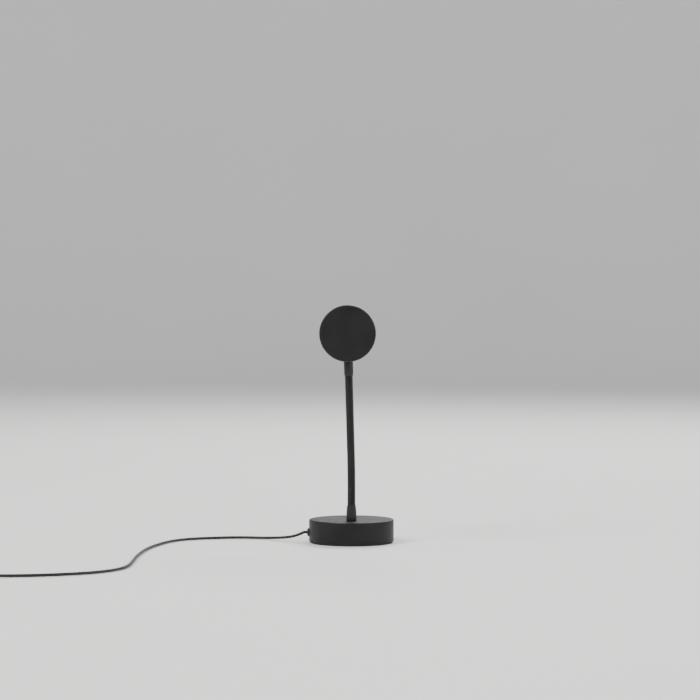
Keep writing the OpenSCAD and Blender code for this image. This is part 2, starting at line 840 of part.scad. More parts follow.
// The switch's frame: x along the lead, towards the plug
module in_switch() {
    from_mouth() translate([tail_x, case_y, 0]) rotate(90) children();
}

module at_button() {
    in_switch() translate([case_l / 2, 0, 0]) children();
}

module at_switch_screws() {
    for (sx = [-1, 1]) translate([case_l / 2 + sx * 11.5, 0, 0]) children();
}

// Both halves' outside, before they part at the seam
module case_body() {
    body_l = case_l - 2 * collar_l;
    translate([case_l / 2, 0, 0]) soft_box(body_l, case_w, case_h, 4, 0.6, 1);
    translate([0, 0, case_mid]) rotate([0, 90, 0]) rotate_extrude()
        difference() {
            square_to(collar_d / 2, 0, case_l);
            for (x = [collar_groove_x, case_l - collar_groove_x - collar_groove_w])
                translate([collar_d / 2 - 0.25, x]) square([1, collar_groove_w]);
        }
}

module case_hollow() {
    hollow_l = case_l - 2 * collar_l - 2 * case_wall;
    translate([case_l / 2, 0, case_wall])
        linear_extrude(case_h - case_wall - button_wall)
            rounded_rect(hollow_l, case_w - 2 * case_wall, 2.6);
}

module switch_case_lower() {
    color("#18181a") in_switch() difference() {
        union() {
            difference() {
                intersection() {
                    case_body();
                    translate([0, -case_w, 0]) cube([case_l, 2 * case_w, case_mid]);
                }
                case_hollow();
            }
            at_switch_screws() translate([0, 0, case_wall - EPS])
                cylinder(case_mid - case_wall + EPS, d = 4);
        }
        at_switch_screws() {
            translate([0, 0, -EPS]) cylinder(case_mid + 1, d = 1.8 + GAP);
            translate([0, 0, -EPS]) cylinder(1.2 + EPS, d = 3.4);
        }
    }
}

module switch_case_upper() {
    color("#18181a") in_switch() difference() {
        union() {
            difference() {
                intersection() {
                    case_body();
                    translate([0, -case_w, case_mid])
                        cube([case_l, 2 * case_w, case_h]);
                }
                case_hollow();
            }
            at_switch_screws() translate([0, 0, case_mid])
                cylinder(case_h - case_mid - button_wall + EPS, d = 4);
        }
        translate([case_l / 2, 0, case_h / 2]) cylinder(case_h, d = button_d + 0.6);
        translate([case_l / 2, 0, case_h - button_sink]) cylinder(button_sink + EPS,
            button_d / 2 + 0.3, button_d / 2 + 0.3 + 1.6 * button_sink);
        at_switch_screws() translate([0, 0, case_mid - EPS])
            cylinder(3.4, d = 1.8 + GAP);
    }
}

module switch_screws() {
    color("#b9bcc0") in_switch() at_switch_screws() translate([0, 0, 1.2])
        screw(1.8, case_mid + 1.8, 3.2, 1);
}

// The latching switch block under the button
module switch_core() {
    color("#d9d4c8") at_button() translate([0, 0, case_wall + core_size[2] / 2])
        cube(core_size, center = true);
}

// A small coil spring between the switch block and the button's flange
module button_spring() {
    low = case_wall + core_size[2] + spring_wire / 2;
    rise = button_low() - spring_wire / 2 - low;
    steps = spring_turns * 8;
    color("#b9bcc0") at_button() tube(
        [for (i = [0:steps]) [spring_r * cos(45 * i), spring_r * sin(45 * i),
            low + rise * i / steps]],
        spring_wire / 2, 6, [0, 0, 1], [0, 1, 0],
        [-sin(45 * steps), cos(45 * steps), 0]);
}

// Underside of the button's flange, at rest just under the case's top wall
function button_low() = case_h - button_wall - SEAT - 0.8;

module switch_button() {
    edge = 0.8;
    top = case_h + button_out;
    dish_r = button_d / 2 - edge - 0.3;
    ball_r = (dish_r * dish_r + button_dish * button_dish) / (2 * button_dish);
    color("#2c2c2f") at_button() rotate_extrude() {
        difference() {
            union() {
                square_to(button_d / 2, button_low(), top - edge);
                square_to(button_d / 2 - edge, button_low(), top);
                translate([button_d / 2 - edge, top - edge]) circle(edge);
            }
            translate([0, top + ball_r - button_dish]) circle(ball_r, $fn = 128);
        }
        square_to(flange_d / 2, button_low(), button_low() + 0.8);
        square_to(1.6, case_wall + core_size[2] + button_travel + 0.3,
            button_low() + EPS);
    }
}

// The plug's frame: x out of the plug
module in_plug() {
    from_mouth() translate([tail_x, case_y + case_l + tail_gap, 0])
        rotate(90) children();
}

// The sleeve's radius at x from its end on the lead
function sleeve_r(x) = lead_r + 0.9 + x / sleeve_l;

module usb_overmould() {
    body_l = grip_l - sleeve_l;
    color("#131314") in_plug() difference() {
        union() {
            translate([grip_l - body_l / 2, 0, 0])
                soft_box(body_l, grip_w, grip_t, 1.6, 0.8, 0.8);
            translate([0, 0, grip_t / 2]) rotate([0, 90, 0]) rotate_extrude()
                difference() {
                    polygon([[0, 0], [sleeve_r(0), 0],
                        [sleeve_r(sleeve_l), sleeve_l + EPS], [0, sleeve_l + EPS]]);
                    for (x = [0.7:1.6:sleeve_l - 1.5])
                        translate([sleeve_r(x) - 0.4, x]) square([2, 0.6]);
                }
        }
        for (k = [0:2]) for (sy = [-1, 1])
            translate([sleeve_l + 4 + 2.6 * k, sy * (grip_w / 2 + 0.9), -1])
                cylinder(grip_t + 2, r = 1.4);
        translate([grip_l - usb_in, -usb_w / 2 - GAP, grip_t / 2 - usb_t / 2 - GAP])
            cube([usb_in + 1, usb_w + 2 * GAP, usb_t + 2 * GAP]);
    }
}

module usb_shell() {
    color("#c9ccd0") in_plug() translate([grip_l - usb_in, 0, grip_t / 2])
        difference() {
            rotate([90, 0, 90]) linear_extrude(usb_in + usb_l) difference() {
                rounded_rect(usb_w, usb_t, 0.6);
                rounded_rect(usb_w - 2 * usb_wall, usb_t - 2 * usb_wall, 0.3);
            }
            for (sy = [-1, 1]) translate([usb_in + 5, sy * 2.9 - 1.1, -usb_t])
                cube([2.4, 2.2, 2 * usb_t]);
        }
}

// The tongue fills the shell's upper half, and its contacts face down
module usb_tongue() {
    wide = usb_w - 2 * usb_wall - 0.3;
    low = usb_t / 2 - usb_wall - GAP - tongue_t;
    color("#f0f0ec") in_plug() translate([grip_l - usb_in, -wide / 2, grip_t / 2]) {
        translate([0, 0, low]) cube([usb_in + usb_l - 0.6, wide, tongue_t]);
        translate([0, 0, usb_wall + GAP - usb_t / 2])
            cube([usb_in - 0.5, wide, low - (usb_wall + GAP - usb_t / 2) + EPS]);
    }
}

module usb_contacts() {
    low = usb_t / 2 - usb_wall - GAP - tongue_t;
    long = [9.2, 8.2, 8.2, 9.2];
    color("#d4a72c") in_plug() for (k = [0:3])
        translate([grip_l + usb_l - 1.2 - long[k], -3.5 + 7 / 3 * k - 0.55,
            grip_t / 2 + low - 0.2])
            cube([long[k], 1.1, 0.2]);
}

base_shell();
base_weight();
bottom_plate();
plate_screws();
foot_pad();
driver_board();
board_parts();
driver_screws();
feed_lead();
strain_relief();
neck_nut();
neck_washer();
neck_ferrule_lower();
neck_lead();
for (i = [1:link_count]) {
    neck_link(i);
}
neck_ferrule_upper();
saddle_block();
head_nut();
rear_cap();
heat_sink();
head_barrel();
led_board();
led_emitter();
led_screws();
optic_holder();
condenser_lens();
colour_filter();
filter_ring();
main_lens();
lens_gasket();
front_bezel();
cord_run();
cord_coil();
cord_tail_switch();
cord_tail_plug();
coil_tie();
switch_case_lower();
switch_case_upper();
switch_core();
switch_screws();
button_spring();
switch_button();
usb_overmould();
usb_shell();
usb_tongue();
usb_contacts();
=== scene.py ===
import json
import math

import bmesh
import bpy
from mathutils import Matrix, Vector


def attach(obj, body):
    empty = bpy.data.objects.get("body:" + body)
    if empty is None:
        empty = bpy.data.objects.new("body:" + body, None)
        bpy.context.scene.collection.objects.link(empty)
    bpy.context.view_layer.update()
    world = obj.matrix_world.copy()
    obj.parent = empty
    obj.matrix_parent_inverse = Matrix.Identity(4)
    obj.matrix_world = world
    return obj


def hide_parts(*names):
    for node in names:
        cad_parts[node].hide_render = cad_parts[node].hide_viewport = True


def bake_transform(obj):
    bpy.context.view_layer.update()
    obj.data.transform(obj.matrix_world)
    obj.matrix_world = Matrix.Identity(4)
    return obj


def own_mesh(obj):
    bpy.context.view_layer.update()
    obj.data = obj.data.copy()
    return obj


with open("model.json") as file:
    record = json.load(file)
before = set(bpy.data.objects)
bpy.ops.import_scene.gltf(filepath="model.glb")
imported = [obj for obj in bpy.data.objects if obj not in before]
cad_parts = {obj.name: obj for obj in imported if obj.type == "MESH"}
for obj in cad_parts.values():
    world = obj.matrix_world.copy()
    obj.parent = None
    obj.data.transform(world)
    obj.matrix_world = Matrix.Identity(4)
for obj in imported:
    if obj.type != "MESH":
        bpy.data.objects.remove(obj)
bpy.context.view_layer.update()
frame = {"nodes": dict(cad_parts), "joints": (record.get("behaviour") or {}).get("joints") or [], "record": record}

MM = 0.001

# The camera stands a little above the lamp's head, 2.5 m in front of the base, and looks
# along +Y, slightly down.
CAMERA_AT = Vector((-1.5, -2500, 260)) * MM
CAMERA_DOWN = 1.286  # degrees
FOCAL_PIXELS = 2360  # for a picture 700 pixels wide
PICTURE_PIXELS = 700
SENSOR_WIDTH = 36.0

# The lead, in millimetres. Every x counts from the mouth of the bush.
LEAD_R = 1.5
EXIT_HEIGHT = 10.5
MOUTH_X = -47.2
ROUTE = [
    (0, 0, EXIT_HEIGHT), (-3, 0, EXIT_HEIGHT), (-8, 0.4, 8.3), (-15, 3.5, 5.8),
    (-24, 10, 3.9), (-34, 19, 2.6), (-46, 27, 1.7), (-61, 32, 1.55),
    (-78, 33, 1.55), (-95, 29.5, 1.55), (-111, 24, 1.55), (-126, 16.5, 1.55),
    (-138, 4, 1.55), (-147, -14, 1.55), (-154, -37, 1.55), (-160, -64, 1.55),
    (-164, -94, 1.55), (-166, -124, 1.55), (-167, -154, 1.55),
    (-167, -184, 1.55), (-167, -212, 1.55), (-168, -236, 1.55),
    (-173, -258, 1.55), (-184, -278, 1.55), (-201, -294, 1.55),
    (-222, -305, 1.55), (-245, -312.5, 1.55), (-268, -316.5, 1.6),
    (-289, -318, 1.9)]

# The coil winds inwards on its lower layer and outwards again on the upper one.
COIL_AT = (-313, -294)
COIL_R = 24.4  # of the outermost turn
COIL_PITCH = 3.5  # from turn to turn, and from layer to layer
COIL_TURNS = 7.25
COIL_STEPS = 24  # points on a turn
COIL_CROSSING = 0.5  # turns that the climb to the upper layer takes
COIL_LOW = 2.25
COIL_HIGH = COIL_LOW + COIL_PITCH
COIL_END = 3  # straight lead at either end of the coil

# The switch and the plug lie in line behind the coil.
TAIL_X = COIL_AT[0] - COIL_R
CASE_Y = COIL_AT[1] + 27
CASE_LENGTH = 46
CASE_SEAM = 5.2  # height of the seam, where the lead enters
TAIL_GAP = 20
PLUG_Y = CASE_Y + CASE_LENGTH + TAIL_GAP
PLUG_HEIGHT = 4
COIL_SIDE = 8  # straight lead at the coil and before the switch
PLUG_SIDE = 5  # straight lead after the switch and before the plug


def slot_of_node(node):
    return next(s["material_slot"] for s in frame["record"]["subparts"]
                if s["node"] == node)


# Camera and lead ---------------------------------------------------------------

def make_camera():
    data = bpy.data.cameras.new("camera")
    data.sensor_width = SENSOR_WIDTH
    data.lens = SENSOR_WIDTH * FOCAL_PIXELS / PICTURE_PIXELS
    data.clip_end = 50
    camera = bpy.data.objects.new("camera", data)
    camera.location = CAMERA_AT
    camera.rotation_euler = (math.radians(90 - CAMERA_DOWN), 0, 0)
    bpy.context.scene.collection.objects.link(camera)
    bpy.context.scene.camera = camera


def ease(x):
    x = min(max(x, 0), 1)
    return x * x * (3 - 2 * x)


def coil_point(turn):
    """The coil's middle line after so many turns. It climbs halfway along."""
    radius = COIL_R - COIL_PITCH * min(turn, COIL_TURNS - turn)
    climb = ease((turn - COIL_TURNS / 2) / COIL_CROSSING + 0.5)
    return (COIL_AT[0] - radius * math.sin(2 * math.pi * turn),
            COIL_AT[1] - radius * math.cos(2 * math.pi * turn),
            COIL_LOW + COIL_PITCH * climb)


def lead_points():
    """Every point that the lead passes, from the bush to the plug, in metres."""
    steps = round(COIL_TURNS * COIL_STEPS)
    tail_start = COIL_AT[1] + COIL_END
    points = ROUTE + [(COIL_AT[0] + COIL_END, COIL_AT[1] - COIL_R, COIL_LOW)]
    points += [coil_point(i / COIL_STEPS) for i in range(steps + 1)]
    points += [
        (TAIL_X, tail_start, COIL_HIGH), (TAIL_X, tail_start + COIL_SIDE, COIL_HIGH),
        (TAIL_X, CASE_Y - COIL_SIDE, CASE_SEAM), (TAIL_X, CASE_Y, CASE_SEAM),
        (TAIL_X, CASE_Y + CASE_LENGTH / 2, CASE_SEAM),
        (TAIL_X, CASE_Y + CASE_LENGTH, CASE_SEAM),
        (TAIL_X, CASE_Y + CASE_LENGTH + PLUG_SIDE, CASE_SEAM),
        (TAIL_X, PLUG_Y - PLUG_SIDE, PLUG_HEIGHT), (TAIL_X, PLUG_Y, PLUG_HEIGHT)]
    return [Vector((x + MOUTH_X, y, z)) * MM for x, y, z in points]


def make_lead(material):
    """The lead as one Bezier curve through its points."""
    points = lead_points()
    data = bpy.data.curves.new("power_lead", "CURVE")
    data.dimensions = "3D"
    data.resolution_u = 5
    data.bevel_depth = LEAD_R * MM
    data.bevel_resolution = 5
    data.use_fill_caps = True
    spline = data.splines.new("BEZIER")
    spline.bezier_points.add(len(points) - 1)
    for i, (knot, at) in enumerate(zip(spline.bezier_points, points)):
        before = points[max(i - 1, 0)]
        after = points[min(i + 1, len(points) - 1)]
        reach = (after - before) / 6
        knot.co = at
        knot.handle_left = at - reach
        knot.handle_right = at + reach
    data.materials.append(material)
    lead = bpy.data.objects.new("power_lead", data)
    bpy.context.scene.collection.objects.link(lead)
    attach(lead, "base")
    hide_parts("cord_run", "cord_coil", "cord_tail_switch", "cord_tail_plug")
    return lead


make_camera()


# Shader nodes -------------------------------------------------------------------

class Wire:
    """One output of a material's nodes. Arithmetic on it adds Math nodes."""

    def __init__(self, tree, socket=None):
        self.tree = tree
        self.socket = socket

    def node(self, kind, settings=None, inputs=None, output=0):
        """A new node, with its settings set first, then its sockets' values or links."""
        made = self.tree.nodes.new(kind)
        for name, value in (settings or {}).items():
            if name == "stops":
                set_stops(made.color_ramp, value)
            else:
                setattr(made, name, value)
        for name, value in (inputs or {}).items():
            if isinstance(value, Wire):
                self.tree.links.new(value.socket, made.inputs[name])
            else:
                made.inputs[name].default_value = value
        return Wire(self.tree, made.outputs[output] if made.outputs else None)

    def math(self, operation, *values):
        return self.node("ShaderNodeMath", {"operation": operation},
                         dict(enumerate(values)))

    def __add__(self, other):
        return self.math("ADD", self, other)

    __radd__ = __add__

    def __sub__(self, other):
        return self.math("SUBTRACT", self, other)

    def __rsub__(self, other):
        return self.math("SUBTRACT", other, self)

    def __mul__(self, other):
        return self.math("MULTIPLY", self, other)

    __rmul__ = __mul__

    def __truediv__(self, other):
        return self.math("DIVIDE", self, other)

    def __rtruediv__(self, other):
        return self.math("DIVIDE", other, self)


def set_stops(ramp, stops):
    while len(ramp.elements) < len(stops):
        ramp.elements.new(1)
    for element, (position, colour) in zip(ramp.elements, stops):
        element.position = position
        element.color = colour


def opaque(colour):
    return (*colour, 1)


def shade(colour, factor):
    return opaque([c * factor for c in colour])


def new_material(name):
    material = bpy.data.materials.new(name)
    material.use_nodes = True
    material.node_tree.nodes.clear()
    return material, Wire(material.node_tree)


def close_material(wire, inputs):
    shader = wire.node("ShaderNodeBsdfPrincipled", None, inputs)
    wire.node("ShaderNodeOutputMaterial", None, {"Surface": shader})


def places(wire, stretch=(1, 1, 1)):
    """Places on the object at rest, in metres, stretched along the axes."""
    at = wire.node("ShaderNodeTexCoord", output="Object")
    return wire.node("ShaderNodeVectorMath", {"operation": "MULTIPLY"},
                     {0: at, 1: stretch})


def noise(wire, at, grain, detail=2, roughness=0.5):
    """Soft noise from 0 to 1, with blotches of about grain millimetres."""
    return wire.node("ShaderNodeTexNoise", None, {
        "Vector": at, "Scale": 1 / (grain * MM), "Detail": detail,
        "Roughness": roughness})


def spread(wire, value, low, high):
    """value from low to high, drawn out to run from 0 to 1."""
    return wire.node("ShaderNodeMapRange", {"clamp": True}, {
        "Value": value, "From Min": low, "From Max": high})


def mix(wire, factor, first, second):
    return wire.node("ShaderNodeMix", {"data_type": "RGBA"},
                     {0: factor, 6: first, 7: second}, output=2)


def relief(wire, height, depth):
    """A normal from height, where 1 stands depth millimetres above 0."""
    return wire.node("ShaderNodeBump", None, {
        "Strength": 1, "Distance": depth * MM, "Height": height})


# Materials ----------------------------------------------------------------------

def worn_edges(wire, at):
    """From 0 to 1 where handling has rubbed the rounded edges, in uneven stretches."""
    edge = wire.node("ShaderNodeAttribute", {"attribute_name": "edge"}, output="Fac")
    patches = noise(wire, at, 7, 4, 0.65)
    return spread(wire, edge * patches, 0.36, 0.56)


def powder_coat(name, colour, roughness=0.5, grain=0.45, depth=0.085):
    """Baked powder: a fine orange peel with duller patches and rubbed edges."""
    material, wire = new_material(name)
    at = places(wire)
    peel = noise(wire, at, grain, 3)
    waves = noise(wire, at, 6 * grain, 2)
    wiped = spread(wire, noise(wire, at, 24, 5, 0.6), 0.35, 0.7)
    dust = spread(wire, noise(wire, at, 0.6, 2, 0.7), 0.67, 0.8)
    rubbed = worn_edges(wire, at)
    dulled = mix(wire, wiped, shade(colour, 0.8), shade(colour, 1.5))
    dusty = mix(wire, dust * 0.3, dulled, shade(colour, 4))
    close_material(wire, {
        "Base Color": mix(wire, rubbed * 0.7, dusty, shade(colour, 8)),
        "Roughness": roughness - 0.07 + wiped * 0.12 + peel * 0.08 - rubbed * 0.12,
        "Specular IOR Level": 0.26,
        "Normal": relief(wire, peel + waves * 0.8, depth)})
    return material


def turned_metal(name, colour, roughness, metallic, axis, line=0.28, depth=0.006):
    """Metal turned on a lathe: fine lines round the axis, 0, 1 or 2 for X, Y or Z."""
    material, wire = new_material(name)
    across = [0.02, 0.02, 0.02]
    across[axis] = 1
    lines = noise(wire, places(wire, across), line, 3, 0.7)
    at = places(wire)
    cloud = spread(wire, noise(wire, at, 15, 4, 0.6), 0.3, 0.7)
    speck = noise(wire, at, 0.35, 2)
    rubbed = worn_edges(wire, at)
    clouded = mix(wire, cloud, shade(colour, 0.85), shade(colour, 1.2))
    close_material(wire, {
        "Base Color": mix(wire, rubbed * 0.6, clouded, shade(colour, 4)),
        "Metallic": metallic,
        "Roughness": roughness - 0.05 + lines * 0.08 + cloud * 0.06 - rubbed * 0.08,
        "Normal": relief(wire, lines + speck * 0.4, depth)})
    return material


def plated_steel(name, colour, roughness=0.25):
    """Bright plating on rolled sheet or wire, with faint scratches and haze."""
    material, wire = new_material(name)
    at = places(wire)
    haze = spread(wire, noise(wire, at, 4, 4, 0.65), 0.3, 0.75)
    scratch = noise(wire, places(wire, (0.06, 1, 1)), 0.12, 2, 0.8)
    close_material(wire, {
        "Base Color": mix(wire, haze, shade(colour, 0.88), opaque(colour)),
        "Metallic": 1.0,
        "Roughness": roughness - 0.06 + haze * 0.14 + scratch * 0.06,
        "Normal": relief(wire, scratch, 0.002)})
    return material


def moulding(name, colour, roughness=0.5, grain=0.3, depth=0.012, coat=0.0):
    """Moulded plastic with a spark-eroded grain."""
    material, wire = new_material(name)
    at = places(wire)
    spark = noise(wire, at, grain, 2, 0.6)
    flow = spread(wire, noise(wire, at, 9, 3), 0.3, 0.7)
    close_material(wire, {
        "Base Color": mix(wire, flow, shade(colour, 0.9), shade(colour, 1.18)),
        "Roughness": roughness - 0.06 + spark * 0.08 + flow * 0.06,
        "Specular IOR Level": 0.35,
        "Coat Weight": coat,
        "Coat Roughness": 0.2,
        "Normal": relief(wire, spark, depth)})
    return material


def soft_rubber(name, colour, roughness=0.55, grain=0.5, depth=0.01):
    """Rubber or PVC: smooth, slightly uneven, with a dusty bloom."""
    material, wire = new_material(name)
    at = places(wire)
    bloom = spread(wire, noise(wire, at, 6, 5, 0.65), 0.35, 0.75)
    fine = noise(wire, at, grain, 3)
    close_material(wire, {
        "Base Color": mix(wire, bloom, opaque(colour), shade(colour, 1.6)),
        "Roughness": roughness - 0.08 + bloom * 0.14 + fine * 0.05,
        "Specular IOR Level": 0.32,
        "Normal": relief(wire, fine, depth)})
    return material


def foam_rubber(name, colour):
    """Closed-cell foam: small open pores over the whole face, with painted shade in them."""
    material, wire = new_material(name)
    at = places(wire)
    pores = wire.node("ShaderNodeTexVoronoi", {"feature": "F1"}, {
        "Vector": at, "Scale": 1 / (0.9 * MM)})
    pit = 1 - spread(wire, pores, 0.12, 0.42)
    tone = noise(wire, at, 12, 3)
    skin = mix(wire, tone, shade(colour, 0.9), shade(colour, 1.5))
    # the colour darkens inside the pores: painted shade
    close_material(wire, {
        "Base Color": mix(wire, pit * 0.7, skin, shade(colour, 0.3)),
        "Roughness": 0.92 - tone * 0.08,
        "Specular IOR Level": 0.25,
        "Normal": relief(wire, 1 - pit, 0.12)})
    return material


def hook_and_loop(name, colour):
    """A woven strap covered in small loops, with painted light on their tops and painted shade between them."""
    material, wire = new_material(name)
    at = places(wire)
    loops = wire.node("ShaderNodeTexVoronoi", {"feature": "F1"}, {
        "Vector": at, "Scale": 1 / (0.35 * MM)})
    tone = noise(wire, at, 3, 3)
    # lighter on the loops' tops and darker between them: painted light and painted shade
    close_material(wire, {
        "Base Color": mix(wire, loops * 1.2, shade(colour, 1.9), shade(colour, 0.6)),
        "Roughness": 0.85 + tone * 0.1,
        "Sheen Weight": 0.35,
        "Normal": relief(wire, 1 - loops, 0.08)})
    return material


def circuit_board(name, mask, track):
    """Solder mask over tracks that show as slightly raised, lighter bands."""
    material, wire = new_material(name)
    cells = wire.node("ShaderNodeTexVoronoi", {"distance": "MANHATTAN"}, {
        "Vector": places(wire), "Scale": 1 / (2.6 * MM), "Randomness": 0.4})
    tracks = spread(wire, cells, 0.34, 0.36)
    close_material(wire, {
        "Base Color": mix(wire, tracks, opaque(mask), opaque(track)),
        "Roughness": 0.32 + tracks * 0.06,
        "Normal": relief(wire, tracks, 0.03)})
    return material


def clear_glass(name, tint):
    """Polished glass with the faintest dust."""
    material, wire = new_material(name)
    dust = spread(wire, noise(wire, places(wire), 0.7, 3, 0.7), 0.68, 0.8)
    close_material(wire, {
        "Base Color": opaque(tint),
        "Roughness": dust * 0.12,
        "Transmission Weight": 1.0,
        "IOR": 1.52})
    return material


def sunset_filter(name, centre):
    """A coated disc, red in the middle, then orange, then amber, with a painted glow for the light from behind."""
    material, wire = new_material(name)
    offset = wire.node("ShaderNodeVectorMath", {"operation": "SUBTRACT"},
                       {0: places(wire), 1: centre})
    flat = wire.node("ShaderNodeVectorMath", {"operation": "MULTIPLY"},
                     {0: offset, 1: (1, 0, 1)})
    radius = wire.node("ShaderNodeVectorMath", {"operation": "LENGTH"}, {0: flat},
                       output="Value") / (FILTER_R * MM)
    band = wire.node("ShaderNodeValToRGB", {"stops": [
        (0.0, (0.95, 0.07, 0.012, 1)), (0.3, (1.0, 0.15, 0.01, 1)),
        (0.55, (1.0, 0.33, 0.01, 1)), (0.8, (1.0, 0.5, 0.02, 1)),
        (1.0, (0.9, 0.3, 0.01, 1))]}, {"Fac": radius})
    cloud = noise(wire, places(wire), 5, 3)
    close_material(wire, {
        "Base Color": band,
        "Roughness": 0.08 + cloud * 0.08,
        "Coat Weight": 0.5,
        # painted glow: the emission stands in for the emitter's light shining through the disc
        "Emission Color": band,
        "Emission Strength": 0.9})
    return material


def lit_phosphor(name):
    """The emitter's yellow phosphor, lit."""
    material, wire = new_material(name)
    cloud = noise(wire, places(wire), 0.8, 3)
    glow = mix(wire, cloud, (1.0, 0.62, 0.2, 1), (1.0, 0.8, 0.42, 1))
    close_material(wire, {
        "Base Color": glow,
        "Roughness": 0.3 + cloud * 0.1,
        "Emission Color": glow,
        "Emission Strength": 3.0})
    return material


def pale_floor(name):
    """Smooth pale paint with the slightest clouding."""
    material, wire = new_material(name)
    at = places(wire)
    cloud = noise(wire, at, 600, 3)
    grain = noise(wire, at, 0.8, 2)
    close_material(wire, {
        "Base Color": mix(wire, cloud, (0.83, 0.82, 0.8, 1), (0.88, 0.87, 0.85, 1)),
        "Roughness": 0.62 + cloud * 0.1,
        "Specular IOR Level": 0.3,
        "Normal": relief(wire, grain, 0.02)})
    return material


def make_materials(head_centre):
    """The finish of every material slot in the record."""
    return {
        "shell_black": powder_coat("shell powder coat", (0.006, 0.006, 0.0064), 0.46),
        "sink_black": turned_metal("anodised fins", (0.016, 0.016, 0.017), 0.42, 0.5, 1),
        "ferrule_black": turned_metal("ferrule paint", (0.011, 0.011, 0.0115), 0.36, 0.25, 2),
        "neck_black": powder_coat("neck coating", (0.006, 0.006, 0.0063), 0.42, 0.4, 0.012),
        "plate_black": powder_coat("plate passivation", (0.035, 0.036, 0.038), 0.55),
        "ring_black": turned_metal("blackened ring", (0.04, 0.04, 0.042), 0.4, 0.7, 1),
        "steel_plain": turned_metal("turned steel", (0.45, 0.46, 0.48), 0.35, 1.0, 2),
        "steel_bright": plated_steel("zinc plate", (0.62, 0.63, 0.65), 0.3),
        "saddle_grey": powder_coat("cast aluminium", (0.42, 0.43, 0.44), 0.5, 0.8, 0.05),
        "pad_black": foam_rubber("pad foam", (0.03, 0.03, 0.033)),
        "bush_black": soft_rubber("bush rubber", (0.01, 0.01, 0.0105), 0.55),
        "lead_black": soft_rubber("lead sheath", (0.011, 0.011, 0.0115), 0.42, 0.8),
        "neck_wire": soft_rubber("neck lead sheath", (0.55, 0.55, 0.55), 0.45),
        "board_green": circuit_board("driver board", (0.01, 0.1, 0.035),
                                     (0.03, 0.2, 0.07)),
        "parts_mixed": moulding("component cases", (0.05, 0.08, 0.14), 0.4),
        "board_white": circuit_board("light board", (0.75, 0.75, 0.72),
                                     (0.82, 0.82, 0.8)),
        "emitter_yellow": lit_phosphor("lit phosphor"),
        "holder_black": moulding("holder moulding", (0.018, 0.018, 0.019), 0.62),
        "lens_glass": clear_glass("lens glass", (0.97, 0.99, 0.99)),
        "filter_sunset": sunset_filter("sunset filter", head_centre),
        "case_black": moulding("case moulding", (0.011, 0.011, 0.0117), 0.5, 0.35, 0.06),
        "button_black": moulding("button moulding", (0.02, 0.02, 0.0215), 0.34, 0.3,
                                 0.004, 0.3),
        "core_cream": moulding("switch block", (0.7, 0.66, 0.56), 0.45),
        "tie_black": hook_and_loop("strap weave", (0.018, 0.018, 0.019)),
        "grip_black": soft_rubber("grip overmoulding", (0.012, 0.012, 0.0125), 0.5, 0.3, 0.02),
        "plug_nickel": plated_steel("nickel plate", (0.56, 0.555, 0.54), 0.22),
        "tongue_white": moulding("tongue moulding", (0.82, 0.82, 0.79), 0.4),
        "contact_gold": plated_steel("gold flash", (0.86, 0.62, 0.22), 0.24)}


# Mesh tools, in millimetres -----------------------------------------------------

ARC_STEPS = 6
NEAR = 1e-4  # a length under this is none
QUARTER = [math.radians(a) for a in range(0, 91, 15)]  # the steps of a round edge


def rounded(corners, edges=None):
    """The closed outline through corners (x, y) or (x, y, fillet), fillets as arcs.

    edges, if it is a list, gets 1 for a point in the middle of an arc and 0 for the
    rest, so that a finish can be worn along the edges.
    """
    points = []
    for i, corner in enumerate(corners):
        here = Vector(corner[:2])
        if len(corner) < 3:
            points.append(here)
            if edges is not None:
                edges.append(0)
            continue
        back = (Vector(corners[i - 1][:2]) - here).normalized()
        on = (Vector(corners[(i + 1) % len(corners)][:2]) - here).normalized()
        half = math.acos(max(-1, min(1, back.dot(on)))) / 2
        centre = here + (back + on).normalized() * (corner[2] / math.sin(half))
        start = here + back * (corner[2] / math.tan(half)) - centre
        end = here + on * (corner[2] / math.tan(half)) - centre
        turn = start.angle_signed(end)
        for k in range(ARC_STEPS + 1):
            angle = -turn * k / ARC_STEPS
            points.append(centre + Matrix.Rotation(angle, 2) @ start)
            if edges is not None:
                edges.append(math.sin(math.pi * k / ARC_STEPS))
    return points


def scaled_object(name, mesh, material):
    """A mesh in millimetres as a smooth-shaded object in the scene."""
    mesh.transform(Matrix.Scale(MM, 4))
    for polygon in mesh.polygons:
        polygon.use_smooth = True
    mesh.materials.append(material)
    made = bpy.data.objects.new(name, mesh)
    bpy.context.scene.collection.objects.link(made)
    return made


def add_piece(name, mesh, slot, sharp=30):
    """A finished mesh in the slot's finish, with edges over sharp degrees kept."""
    made = scaled_object(name, mesh, MATERIALS[slot])
    mesh.set_sharp_from_angle(angle=math.radians(sharp))
    return made


def mesh_of(name, points, faces, place=None, edges=None):
    form = bmesh.new()
    verts = [form.verts.new(p) for p in points]
    for face in faces:
        form.faces.new([verts[i] for i in face])
    bmesh.ops.recalc_face_normals(form, faces=form.faces)
    mesh = bpy.data.meshes.new(name)
    form.to_mesh(mesh)
    form.free()
    if edges:
        mesh.attributes.new("edge", "FLOAT", "POINT").data.foreach_set("value", edges)
    if place:
        mesh.transform(place)
    return mesh


def turned(name, corners, place, sides=128):
    """A body turned about its own Z: the closed outline holds (radius, height)."""
    worn = []
    outline = rounded(corners, worn)
    points, rings, edges = [], [], []
    for (radius, height), wear in zip(outline, worn):
        count = sides if radius > NEAR else 1
        rings.append([len(points) + k for k in range(count)])
        edges += [wear] * count
        for k in range(count):
            angle = 2 * math.pi * k / sides
            points.append((radius * math.cos(angle), radius * math.sin(angle), height))
    faces = []
    for i, ring in enumerate(rings):
        above = rings[(i + 1) % len(rings)]
        if len(ring) == 1 and len(above) == 1:
            continue
        for k in range(sides):
            quad = [ring[k % len(ring)], ring[(k + 1) % sides % len(ring)],
                    above[(k + 1) % sides % len(above)], above[k % len(above)]]
            faces.append(list(dict.fromkeys(quad)))
    return mesh_of(name, points, faces, place, edges)


